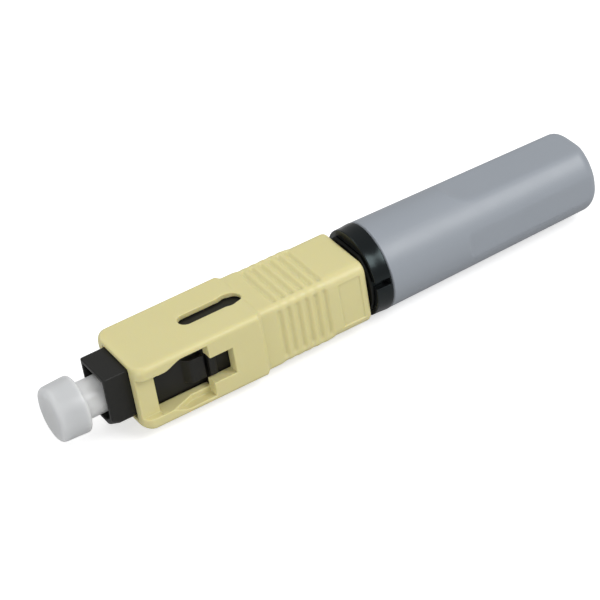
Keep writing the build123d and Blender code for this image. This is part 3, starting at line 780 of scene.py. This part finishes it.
def boot_ring(shell, place, bore=None):
    """Ring of points on the boot's outside, or on a bore of the given radius."""
    ring = []
    lost = edge_loss(place, FLAT_EDGE)
    top = flat_height(place, TOP_DEPTH, TOP_RUNOUT) - TOP_EDGE_SHARE * lost
    side = flat_height(place, SIDE_DEPTH, SIDE_RUNOUT) - lost
    for angle in boot_angles(place):
        radius = bore
        if bore is None:
            radius = boot_radius(place) - edge_loss(place, ROUND_EDGE)
            flats = ((top, abs(sin(angle)), TOP_BLEND), (side, abs(cos(angle)), SIDE_BLEND))
            for height, along, blend in flats:
                if along > 0.05:
                    radius = soft_min(radius, height / along, blend)
        x = (BOOT_FRONT + place) * MM
        ring.append(shell.verts.new((x, radius * MM * cos(angle), radius * MM * sin(angle))))
    return ring


# Rings stand close together at the front chamfer, where the flats run out and where the rear edge bends
boot_places = [0.0, 0.05, 0.10, 0.15, 0.5, 2.0, 4.0, 6.0, 7.5, 8.6, FLATS_START]
boot_places += [FLATS_START + SIDE_RUNOUT * step / 16 for step in range(1, 17)]
boot_places += [FLATS_START + SIDE_RUNOUT + (TOP_RUNOUT - SIDE_RUNOUT) * step / 20 for step in range(1, 21)]
boot_places += [13.0, 15.0, 17.0, 19.0, 21.0, 22.5, 23.4, BOOT_LENGTH - ROUND_EDGE]
boot_places += [BOOT_LENGTH - ROUND_EDGE * (1 - sin(pi / 2 * step / 12)) for step in range(1, 12)]
boot_places.append(BOOT_LENGTH - 0.001)
boot_bores = rounded_outline([
    (BOOT_REAR, GROMMET_SEAT_RADIUS, 0.12),
    (BOOT_FRONT + WEB_REAR, GROMMET_SEAT_RADIUS, 0.08),
    (BOOT_FRONT + WEB_REAR, WEB_HOLE_RADIUS, 0.08),
    (BOOT_FRONT + WEB_FRONT, WEB_HOLE_RADIUS, 0.08),
    (BOOT_FRONT + WEB_FRONT, FINGER_WAY_RADIUS, 0.08),
    (BOOT_FRONT + CHAMBER_END, FINGER_WAY_RADIUS, 0.08),
    (BOOT_FRONT + CHAMBER_END, CHAMBER_RADIUS, 0.08),
    (TAIL_REAR, CHAMBER_RADIUS, 0.08),
    (TAIL_REAR, THREAD_BORE, 0.04),
    (THREAD_FRONT - CAVITY_OVERLAP, THREAD_BORE, 0.10),
    (THREAD_FRONT - CAVITY_OVERLAP, CAVITY_RADIUS, 0.10),
    (BOOT_FRONT, CAVITY_RADIUS, 0.10),
], rounding=0.08, steps=3)
boot_mesh = bpy.data.meshes.new("boot_shell")
with edited(boot_mesh) as shell:
    rings = [boot_ring(shell, place) for place in boot_places]
    rings += [boot_ring(shell, x - BOOT_FRONT, radius) for x, radius in boot_bores]
    join_rings(shell, rings)
    bmesh.ops.remove_doubles(shell, verts=shell.verts, dist=0.0000005)
    bmesh.ops.recalc_face_normals(shell, faces=shell.faces)
boot_shell = smooth_but_crisp(add_object("boot_shell", boot_mesh), radians(30))
boot_thread = TAIL_REAR - THREAD_FRONT - THREAD_INSET
boot_ridge = wound(
    "boot_ridge", THREAD_FRONT + THREAD_INSET - THREAD_PITCH / 2, boot_thread,
    radius=THREAD_BORE + 0.02, rod=0.26, turns=boot_thread / THREAD_PITCH, steps=400,
)
dress(join_meshes("boot_nut_finished", [boot_shell, boot_ridge]), "boot_nut")


# Moulded pieces whose every edge is round: shapes are added and cut as distances to their surfaces
FIELD_STEP = 0.005
LEAST_SLOPE = 0.04
SURFACE_ROUNDS = 4
CREASE = radians(40)
FLAT = radians(0.6)
SLIVER = 0.0000005
TILE_OFFSET = 100  # keeps the tiles' numbers positive
TILE_WEIGHTS = (1, 7, 53)  # tell the millimetre tiles around an edge apart


def common(first, second, rounding):
    """Where two shapes overlap, with their shared edge rounded."""
    inside = np.minimum(np.maximum(first, second), -rounding)
    return inside + np.hypot(np.maximum(first + rounding, 0), np.maximum(second + rounding, 0))


def less(shape, cut, rounding):
    """A shape with another cut out of it, and the cut's edge rounded."""
    return common(shape, -cut, rounding)


def joined(first, second, fillet):
    """Two shapes as one, with a fillet where they meet."""
    outside = np.maximum(np.minimum(first, second), fillet)
    return outside - np.hypot(np.maximum(fillet - first, 0), np.maximum(fillet - second, 0))


def rounded_rectangle(u, v, half_u, half_v, corner):
    over_u = np.abs(u) - half_u + corner
    over_v = np.abs(v) - half_v + corner
    beyond = np.hypot(np.maximum(over_u, 0), np.maximum(over_v, 0))
    return np.minimum(np.maximum(over_u, over_v), 0) + beyond - corner


def between(value, low_end, high_end):
    return np.maximum(low_end - value, value - high_end)


def ease(value):
    share = np.clip(value, 0, 1)
    return share * share * (3 - 2 * share)


def graded(low, high, marks, fine, coarse):
    """Stations from low to high: close together within a quarter millimetre of a mark, wider beyond."""
    stations = [low - 1.5 * fine]
    while stations[-1] < high + fine:
        away = min(abs(stations[-1] - mark) for mark in marks)
        stations.append(stations[-1] + min(max(0.35 * (away - 0.25), fine), coarse))
    return np.array(stations)


def read_all(items, name, width, kind=float):
    """One property of all of a mesh's elements, as an array."""
    values = np.empty(len(items) * width, kind)
    items.foreach_get(name, values)
    return values.reshape(-1, width) if width > 1 else values


def mark_tiles(mesh):
    """Seams around millimetre tiles of a mesh of squares: flats are then merged by tile, which is quick."""
    tiles = np.floor(read_all(mesh.polygons, "center", 3) / MM + TILE_OFFSET) @ TILE_WEIGHTS
    edges = read_all(mesh.loops, "edge_index", 1, np.int64)
    beside = np.repeat(tiles, 4)
    total = np.bincount(edges, beside)
    squares = np.bincount(edges, beside ** 2)
    mesh.edges.foreach_set("use_seam", squares * np.bincount(edges) - total ** 2 > 0.5)


def field_slope(field, points):
    """Gradient of a field at each column of points."""
    return np.stack([
        (field(*(points + offset)) - field(*(points - offset))) / (2 * FIELD_STEP)
        for offset in np.eye(3)[:, :, None] * FIELD_STEP
    ])


def true_normals(piece, field):
    """Shading normals of the true surface, except where a face meets it at a crease."""
    mesh = piece.data
    slope = field_slope(field, read_all(mesh.vertices, "co", 3).T / MM)
    slope = (slope / np.maximum(np.sqrt((slope ** 2).sum(0)), 0.001)).T
    smooth = slope[read_all(mesh.loops, "vertex_index", 1, np.int64)]
    sizes = read_all(mesh.polygons, "loop_total", 1, np.int64)
    facing = np.repeat(read_all(mesh.polygons, "normal", 3), sizes, axis=0)
    alike = (smooth * facing).sum(1) > cos(CREASE)
    mesh.normals_split_custom_set(np.where(alike[:, None], smooth, facing).tolist())


def surface_net(name, field, axes, coarse):
    """Mesh of squares around the surface where the field is zero, with their points set exactly on it."""
    filled = field(*np.meshgrid(*axes, indexing="ij", sparse=True)) < 0
    counts = sum(
        filled[i:i - 1 or None, j:j - 1 or None, k:k - 1 or None].astype(np.int8)
        for i in (0, 1) for j in (0, 1) for k in (0, 1)
    )
    crossed = (counts > 0) & (counts < 8)
    index = np.full(crossed.shape, -1, np.int64)
    index[crossed] = np.arange(crossed.sum())
    cells = np.nonzero(crossed)
    points = np.stack([(axes[i][cells[i]] + axes[i][cells[i] + 1]) / 2 for i in range(3)])
    for _ in range(SURFACE_ROUNDS):
        value = field(*points)
        slope = field_slope(field, points)
        shift = value * slope / np.maximum((slope ** 2).sum(0), LEAST_SLOPE)
        points -= np.clip(shift, -coarse, coarse)
    quads = []
    for axis in range(3):
        first = np.take(filled, range(filled.shape[axis] - 1), axis)
        second = np.take(filled, range(1, filled.shape[axis]), axis)
        spots = np.stack(np.nonzero(first != second))
        across, along = (axis + 1) % 3, (axis + 2) % 3
        ring = []
        for step_across, step_along in ((1, 1), (0, 1), (0, 0), (1, 0)):
            cell = spots.copy()
            cell[across] -= step_across
            cell[along] -= step_along
            ring.append(index[tuple(cell)])
        ring = np.stack(ring, axis=1)
        outward = first[tuple(spots)]
        ring[~outward] = ring[~outward][:, ::-1]
        quads.append(ring)
    quads = np.concatenate(quads)
    mesh = bpy.data.meshes.new(name)
    mesh.vertices.add(points.shape[1])
    mesh.vertices.foreach_set("co", (points.T * MM).ravel())
    mesh.loops.add(quads.size)
    mesh.loops.foreach_set("vertex_index", quads.ravel())
    mesh.polygons.add(len(quads))
    mesh.polygons.foreach_set("loop_start", np.arange(0, quads.size, 4))
    mesh.update(calc_edges=True)
    mesh.validate()
    return mesh


def merge_flats(piece):
    """Fewer, larger faces where the surface is flat, all as triangles without slivers."""
    mark_tiles(piece.data)
    flats = piece.modifiers.new("flats", "DECIMATE")
    flats.decimate_type = "DISSOLVE"
    flats.angle_limit = FLAT
    flats.delimit = {"SEAM"}
    triangles = piece.modifiers.new("triangles", "TRIANGULATE")
    triangles.quad_method = "BEAUTY"
    triangles.ngon_method = "BEAUTY"
    settle(piece)
    with edited(piece.data) as shell:
        bmesh.ops.dissolve_degenerate(shell, dist=SLIVER, edges=shell.edges)
    piece.data.polygons.foreach_set("use_smooth", [True] * len(piece.data.polygons))


def sculpted(node, field, marks, fine=0.08, coarse=0.25):
    """Finished piece whose surface is where the field is zero."""
    low, high = (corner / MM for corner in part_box(node))
    axes = [graded(low[i], high[i], marks[i], fine, coarse) for i in range(3)]
    piece = add_object(node + "_finished", surface_net(node + "_surface", field, axes, coarse))
    merge_flats(piece)
    true_normals(piece, field)
    return piece


def both_sides(*values):
    """The values and their mirror images."""
    return [side * value for side in (1, -1) for value in values]


# Outer housing: rounded nose, soft step, latch windows, keyhole slot, grip grooves, side panels and key rib
HOUSING_FRONT, HOUSING_REAR = ends("outer_housing")
NOSE_HALF_WIDTH = 4.50
NOSE_HALF_HEIGHT = 3.70
NOSE_RADIUS = 1.20
NOSE_TOP_INSET = 0.25
FRONT_EDGE = 0.12
REAR_EDGE = 0.52
CORNER = 0.61
CORNER_AT_NOSE = 0.59
CORNER_GROWTH = ((15.2, 1.2, 0.19), (21.3, 0.7, 0.36))  # place, length, growth of the corners' radius
STEP_PLACE = 13.59
STEP_LENGTH = 0.60
STEP_SIDE = 0.40
STEP_TOP = 0.115
TOP_LEVEL = 3.3
SIDE_LEVEL = 3.8
GROOVES = 6
GROOVE_START = 16.15
GROOVE_PITCH = 1.03
GROOVE_SHARPNESS = 1.2
GROOVE_DEPTH = 0.19
GROOVE_CORNER_DEPTH = 0.04
GROOVE_TOP_END = 3.55
GROOVE_SIDE_END = 3.05
GROOVE_FADE = 0.7
PANEL_FRONT = 22.90
PANEL_REAR = 25.35
PANEL_HALF_HEIGHT = 2.50
PANEL_DEPTH = 0.12
PANEL_EDGE = 0.10
KEY_HALF_WIDTH = 1.05
KEY_REACH = 4.40
KEY_END = 13.64
KEY_ROOT = 3.3
DIAGONAL = 1.414  # root of two
KEY_CHAMFER = 2.15
MOUTH_HALF_WIDTH = 2.60
WAY_HALF = 3.10
WAY_END = 21.80
REAR_BORE_RADIUS = 3.05
REAR_BORE_START = 21.70
WINDOW_FRONT = 2.05
WINDOW_REAR = 7.80
WINDOW_HALF_HEIGHT = 2.33
NOTCH_FRONT = 7.0
NOTCH_REAR = 10.40
NOTCH_HALF_HEIGHT = 1.50
POCKET_START = 2.95
POCKET_OPENING = 2.0
POCKET_GROWTH = 0.67
POCKET_SLOPE = 0.42
POCKET_SLOPE_START = 3.10
POCKET_FLOOR = 3.45
BAR_FLOOR = 3.70
SLOT_MIDDLE = 10.675
SLOT_HALF_LENGTH = 2.595
SLOT_RADIUS = 0.88
EYE_PLACE = 12.72
EYE_RADIUS = 1.03
HOUSING_MARKS = (
    [HOUSING_FRONT + place for place in (
        0, 0.3, 0.6, 0.9, 1.2, 1.8, 2.05, 2.5, 2.95, 3.4, 3.9, 4.4, 4.9, 5.6, 7.2, 7.5, 7.8, 8.1, 10.4, 11.8,
        12.2, 12.7, 13.2, 13.6, 13.9, 14.2, 15.8, 21.75, 22.9, 25.35, 25.8, 26.15,
    )] + [HOUSING_FRONT + GROOVE_START + 0.5 * step for step in range(12)],
    both_sides(0.88, 1.05, 2.6, 3.05, 3.3, 3.45, 3.7, 4.0, 4.25, 4.5),
    [-4.4, -3.9] + both_sides(1.5, 2.33, 2.5, 2.7, 3.0, 3.3, 3.6),
)


def grip_waves(place):
    """Depth of the grip's grooves: 1 at the bottom of each."""
    past = place - GROOVE_START
    held = (past > -GROOVE_PITCH / 2) & (past < (GROOVES - 0.5) * GROOVE_PITCH)
    return np.where(held, (0.5 + 0.5 * np.cos(tau * past / GROOVE_PITCH)) ** GROOVE_SHARPNESS, 0)


def housing_skin(x, y, z):
    """Outside of the housing, with the soft grooves and the shallow side panels."""
    width, rise = np.abs(y), np.abs(z)
    place = x - HOUSING_FRONT
    lowered = ease((place - STEP_PLACE) / STEP_LENGTH)
    before = np.clip(NOSE_RADIUS - place, 0, NOSE_RADIUS - 0.001)
    inset = NOSE_RADIUS - np.sqrt(NOSE_RADIUS ** 2 - before ** 2)
    half_width = NOSE_HALF_WIDTH - STEP_SIDE * lowered - inset
    half_height = NOSE_HALF_HEIGHT - STEP_TOP * lowered - NOSE_TOP_INSET * inset / NOSE_RADIUS
    corner = CORNER + CORNER_AT_NOSE * inset / NOSE_RADIUS
    for start, length, growth in CORNER_GROWTH:
        corner = corner + growth * ease((place - start) / length)
    skin = rounded_rectangle(y, z, half_width, half_height, corner)
    on_top = np.where(rise > TOP_LEVEL, ease((GROOVE_TOP_END - width) / GROOVE_FADE), 0)
    on_side = np.where(width > SIDE_LEVEL, ease((GROOVE_SIDE_END - rise) / GROOVE_FADE), 0)
    depth = GROOVE_CORNER_DEPTH + GROOVE_DEPTH * on_top + GROOVE_DEPTH * on_side
    skin = skin + grip_waves(place) * depth
    panel = np.minimum(np.minimum(place - PANEL_FRONT, PANEL_REAR - place), PANEL_HALF_HEIGHT - rise)
    skin = skin + PANEL_DEPTH * np.where(width > SIDE_LEVEL, ease(panel / PANEL_EDGE + 0.5), 0)
    skin = common(skin, -place, FRONT_EDGE)
    return common(skin, x - HOUSING_REAR, REAR_EDGE)


def housing_field(x, y, z):
    """The whole housing: its skin with the key rib, less the ways, windows, pockets and the slot."""
    width, rise = np.abs(y), np.abs(z)
    place = x - HOUSING_FRONT
    key = common(width - KEY_HALF_WIDTH, -KEY_REACH - z, rounding=0.12)
    key = common(key, (KEY_CHAMFER - z - x) / DIAGONAL, rounding=0.15)
    key = common(key, np.maximum(place - KEY_END, z + KEY_ROOT), rounding=0.08)
    shape = joined(housing_skin(x, y, z), key, fillet=0.08)
    mouth = rounded_rectangle(y, z, MOUTH_HALF_WIDTH, WAY_HALF, corner=0.08)
    shape = less(shape, np.maximum(mouth, place - WINDOW_REAR), rounding=0.14)
    way = rounded_rectangle(y, z, WAY_HALF, WAY_HALF, corner=0.10)
    shape = less(shape, np.maximum(way, between(place, WINDOW_REAR, WAY_END)), rounding=0.06)
    rear_bore = np.maximum(np.hypot(y, z) - REAR_BORE_RADIUS, REAR_BORE_START - place)
    shape = less(shape, rear_bore, rounding=0.15)
    window = np.maximum(rise - WINDOW_HALF_HEIGHT, between(place, WINDOW_FRONT, WINDOW_REAR))
    notch = np.maximum(rise - NOTCH_HALF_HEIGHT, between(place, NOTCH_FRONT, NOTCH_REAR))
    shape = less(shape, joined(window, notch, fillet=0.05), rounding=0.09)
    pocket_half = WINDOW_HALF_HEIGHT + POCKET_GROWTH * ease((place - POCKET_START) / POCKET_OPENING)
    pocket_floor = np.maximum(NOSE_HALF_WIDTH - POCKET_SLOPE * (place - POCKET_SLOPE_START), POCKET_FLOOR)
    pocket = common(rise - pocket_half, pocket_floor - width, rounding=0.08)
    shape = less(shape, np.maximum(pocket, place - WINDOW_REAR), rounding=0.14)
    bar = common(rise - WINDOW_HALF_HEIGHT, BAR_FLOOR - width, rounding=0.08)
    shape = less(shape, np.maximum(bar, place - WINDOW_FRONT), rounding=0.14)
    slot = np.hypot(np.maximum(np.abs(place - SLOT_MIDDLE) - SLOT_HALF_LENGTH, 0), y) - SLOT_RADIUS
    slot = joined(slot, np.hypot(place - EYE_PLACE, y) - EYE_RADIUS, fillet=0.12)
    return less(shape, np.maximum(slot, -z), rounding=0.13)


dress(sculpted("outer_housing", housing_field, HOUSING_MARKS), "outer_housing")

# Plug frame: keyed box, latch bosses, travel tabs, a web and a round bore
FRAME_FRONT, FRAME_REAR = ends("plug_frame")
BOX_HALF_WIDTH = 2.5
BOX_HALF_HEIGHT = 3.0
BOX_WALL = 0.48
BOX_DEPTH = 4.65
BOX_END = 10.75
CUT_LENGTH = 0.90
CUT_WIDTH, CUT_WIDTH_GROWTH = 1.35, 0.45
CUT_HEIGHT, CUT_HEIGHT_GROWTH = 1.95, 0.43
BODY_HALF = 3.0
BODY_START = 10.65
BODY_CORNER = 0.50
BOSS_REACH = 3.30
BOSS_START = 8.10
BOSS_END = 10.30
BOSS_HALF_HEIGHT = 1.35
BOSS_RISE, BOSS_RAMP = 1.143, 1.52  # rise for a millimetre along X, and the ramp's length for it
BOSS_ROOT = 2.1
TAB_REACH = 3.55
TAB_END = 11.45
TAB_HALF_HEIGHT = 1.30
WEB_BORE_RADIUS = 1.30
WEB_BORE_START, WEB_BORE_END = 4.5, 6.0
FRAME_BORE_RADIUS = 2.10
FRAME_BORE_START = 5.85
CATCH_PLACE = 20.55
CATCH_HALF_LENGTH = 0.60
CATCH_HALF_WIDTH = 0.80
FRAME_MARKS = (
    [FRAME_FRONT + place for place in (
        0, 0.45, 0.9, 4.65, 5.85, 8.1, 8.5, 8.9, 10.3, 10.7, 11.45, 19.95, 21.15, 22.8,
    )],
    both_sides(0.8, 1.3, 1.8, 2.1, 2.5, 3.0, 3.3, 3.9),
    both_sides(1.32, 2.0, 2.5, 3.0),
)


def keyed_section(x, y, z, wall):
    """Section of the frame's box, less a wall, with its two lower corners cut off."""
    share = np.clip((x - FRAME_FRONT) / CUT_LENGTH, 0, 1) if wall == 0 else 0
    height = CUT_HEIGHT + CUT_HEIGHT_GROWTH * share
    past_height = BOX_HALF_HEIGHT - height
    past_width = BOX_HALF_WIDTH - (CUT_WIDTH + CUT_WIDTH_GROWTH * share)
    cut = (np.abs(y) - BOX_HALF_WIDTH) * past_height + (-z - height) * past_width
    cut = cut / np.hypot(past_height, past_width) + wall
    box = rounded_rectangle(y, z, BOX_HALF_WIDTH - wall, BOX_HALF_HEIGHT - wall, corner=0.20)
    return common(box, cut, rounding=0.20)


def frame_field(x, y, z):
    """The whole frame: its box and body with bosses and tabs, less the mouth, bores and catch holes."""
    width, rise = np.abs(y), np.abs(z)
    place = x - FRAME_FRONT
    box = common(keyed_section(x, y, z, 0), -place, rounding=0.20)
    box = common(box, place - BOX_END, rounding=0.05)
    body = rounded_rectangle(y, z, BODY_HALF, BODY_HALF, BODY_CORNER)
    body = common(body, between(place, BODY_START, FRAME_REAR - FRAME_FRONT), rounding=0.10)
    shape = joined(box, body, fillet=0.05)
    ramp = (width - BOX_HALF_WIDTH - (place - BOSS_START) * BOSS_RISE) / BOSS_RAMP
    boss = common(width - BOSS_REACH, ramp, rounding=0.15)
    boss = common(boss, place - BOSS_END, rounding=0.14)
    boss = common(boss, np.maximum(rise - BOSS_HALF_HEIGHT, BOSS_ROOT - width), rounding=0.10)
    shape = joined(shape, boss, fillet=0.08)
    tab = common(width - TAB_REACH, between(place, BODY_START, TAB_END), rounding=0.12)
    shape = joined(shape, common(tab, rise - TAB_HALF_HEIGHT, rounding=0.12), fillet=0.05)
    mouth = np.maximum(keyed_section(x, y, z, BOX_WALL), place - BOX_DEPTH)
    shape = less(shape, mouth, rounding=0.12)
    web_bore = np.maximum(np.hypot(y, z) - WEB_BORE_RADIUS, between(place, WEB_BORE_START, WEB_BORE_END))
    shape = less(shape, web_bore, rounding=0.05)
    bore = np.maximum(np.hypot(y, z) - FRAME_BORE_RADIUS, FRAME_BORE_START - place)
    shape = less(shape, bore, rounding=0.06)
    catch = np.maximum(width - CATCH_HALF_WIDTH, np.abs(place - CATCH_PLACE) - CATCH_HALF_LENGTH)
    return less(shape, catch, rounding=0.05)


dress(sculpted("plug_frame", frame_field, FRAME_MARKS), "plug_frame")

# Cam ring: band that swells towards the boot, index slot, and a sleeve whose relief lifts the splice's keel
RING_FRONT, RING_REAR = ends("cam_ring")
BAND_RADIUS = 4.65
BAND_SWELL = 0.07
SWELL_START, SWELL_LENGTH = 0.5, 1.2
BAND_END = 1.84
SLEEVE_RADIUS = 3.60
SLEEVE_START = 1.0
RING_BORE_RADIUS = 2.75
RELIEF_RADIUS = 3.21
RELIEF_LIFT = 0.12  # over a quarter turn
RELIEF_MARGIN = 12  # degrees past each end of the quarter turn
RELIEF_START = 1.95
ARC_PER_DEGREE = 0.0175
INDEX_ANGLE = radians(171)
INDEX_HALF_WIDTH = 0.36
INDEX_FLOOR = 3.66
INDEX_END = 1.66
RING_MARKS = (
    [RING_FRONT + place for place in (0, INDEX_END, BAND_END, RELIEF_START)] + [RING_REAR],
    both_sides(4.5), both_sides(4.5),
)


def ring_field(x, y, z):
    """The whole ring: band and sleeve, less the bore, the spiral relief and the index slot."""
    place = x - RING_FRONT
    radius = np.hypot(y, z)
    swell = BAND_SWELL * ease((place - SWELL_START) / SWELL_LENGTH)
    band = common(radius - BAND_RADIUS - swell, between(place, 0, BAND_END), rounding=0.09)
    along = between(place, SLEEVE_START, RING_REAR - RING_FRONT)
    sleeve = common(radius - SLEEVE_RADIUS, along, rounding=0.12)
    shape = joined(band, sleeve, fillet=0.10)
    shape = less(shape, radius - RING_BORE_RADIUS, rounding=0.06)
    turn = np.mod(-90 - np.degrees(np.arctan2(z, y)) + RELIEF_MARGIN, 360) - RELIEF_MARGIN
    floor = radius - RELIEF_RADIUS + RELIEF_LIFT * turn / 90
    arc = between(turn, -RELIEF_MARGIN, 90 + RELIEF_MARGIN) * radius * ARC_PER_DEGREE
    shape = less(shape, np.maximum(np.maximum(floor, arc), RELIEF_START - place), rounding=0.03)
    outward = y * cos(INDEX_ANGLE) + z * sin(INDEX_ANGLE)
    across = z * cos(INDEX_ANGLE) - y * sin(INDEX_ANGLE)
    index = np.maximum(np.abs(across) - INDEX_HALF_WIDTH, INDEX_FLOOR - outward)
    return less(shape, np.maximum(index, place - INDEX_END), rounding=0.05)


dress(sculpted("cam_ring", ring_field, RING_MARKS, fine=0.06, coarse=0.11), "cam_ring")

# Hidden pieces that keep their CAD shape, with softened edges
EDGE_WIDTHS = {
    "rear_body": 0.05, "ferrule_flange": 0.04, "splice_holder": 0.02, "splice_base": 0.02, "splice_lid": 0.03,
    "cable_collet": 0.03,
}
for node, width in EDGE_WIDTHS.items():
    dress(softened(node, width), node)

# Fibre: bare glass, left as it is
nodes["fibre_stub"].data.materials.clear()
nodes["fibre_stub"].data.materials.append(FINISHES["fibre_glass"])

# Floor: white paper, a little brighter to the camera than to the light that it throws back
FLOOR_HALF = 4
FLOOR_GAP = 0.00002
PAPER_TONE = 0.62
PAPER_TONE_SEEN = 0.70
PAPER_GLOW_SEEN = 0.60

floor_height = cad_box[0][2] - FLOOR_GAP
floor_corners = [
    (FLOOR_HALF * x, FLOOR_HALF * y, floor_height) for x, y in ((-1, -1), (1, -1), (1, 1), (-1, 1))
]
floor_mesh = bpy.data.meshes.new("floor")
floor_mesh.from_pydata(floor_corners, [], [(0, 1, 2, 3)])
floor = add_object("floor", floor_mesh)
paper, paper_tree, paper_shader = new_material("white_paper")
seen = add_node(paper_tree, "ShaderNodeLightPath").outputs["Is Camera Ray"]
tone = blend_colours(paper_tree, seen, grey(PAPER_TONE), grey(PAPER_TONE_SEEN))
glow = maths(paper_tree, "MULTIPLY", seen, PAPER_GLOW_SEEN)
paper_tree.links.new(tone, paper_shader.inputs["Base Color"])
paper_tree.links.new(glow, paper_shader.inputs["Emission Strength"])
paper_shader.inputs["Emission Color"].default_value = grey(1.0)
paper_shader.inputs["Roughness"].default_value = 0.9
paper_shader.inputs["Specular IOR Level"].default_value = 0.0
floor_mesh.materials.append(paper)

# Light: a white tent all round, brighter where the camera sees it, and three soft boxes
TENT_LIGHT = 0.42
TENT_MORE_SEEN = 0.63
CONNECTOR_MIDDLE = Vector((0.027, 0, 0))

world = bpy.data.worlds.new("light_tent")
bpy.context.scene.world = world
world.use_nodes = True
tent_tree = world.node_tree
tent = tent_tree.nodes["Background"]
tent.inputs["Color"].default_value = grey(1.0)
tent_seen = add_node(tent_tree, "ShaderNodeLightPath").outputs["Is Camera Ray"]
tent_strength = maths(tent_tree, "ADD", TENT_LIGHT, maths(tent_tree, "MULTIPLY", tent_seen, TENT_MORE_SEEN))
tent_tree.links.new(tent_strength, tent.inputs["Strength"])


def soft_box(name, direction, distance, size, power):
    """Area light that faces the connector's middle from the given direction."""
    lamp = bpy.data.lights.new(name, "AREA")
    lamp.shape = "RECTANGLE"
    lamp.size, lamp.size_y = size
    lamp.energy = power
    holder = add_object(name, lamp)
    holder.location = CONNECTOR_MIDDLE + Vector(direction).normalized() * distance
    holder.rotation_euler = Vector(direction).to_track_quat("Z", "Y").to_euler()


soft_box("key_softbox", (0.50, -0.58, 0.68), distance=0.60, size=(0.36, 0.26), power=2.1)
soft_box("top_softbox", (-0.20, 0.35, 0.90), distance=0.70, size=(0.40, 0.30), power=1.1)
soft_box("front_softbox", (-0.91, -0.33, 0.22), distance=0.60, size=(0.40, 0.40), power=1.3)

# Camera: the photograph's own angle and distance
CAMERA_PLACE = (-0.07073, -0.20241, 0.15867)
CAMERA_RIGHT = (0.8477, -0.5110, -0.1428)
CAMERA_BACK = (-0.3471, -0.7377, 0.5791)

view = bpy.data.cameras.new("photo_view")
view.sensor_fit = "HORIZONTAL"
view.sensor_width = 36.0
view.lens = 165.79
view.clip_start = 0.01
view.clip_end = 20.0
camera = add_object("photo_view", view)
right = Vector(CAMERA_RIGHT).normalized()
back = Vector(CAMERA_BACK)
back = (back - right * back.dot(right)).normalized()
turned = Matrix((right, back.cross(right), back)).transposed().to_4x4()
camera.matrix_world = Matrix.Translation(CAMERA_PLACE) @ turned
bpy.context.scene.camera = camera
bpy.context.scene.view_settings.view_transform = "Standard"
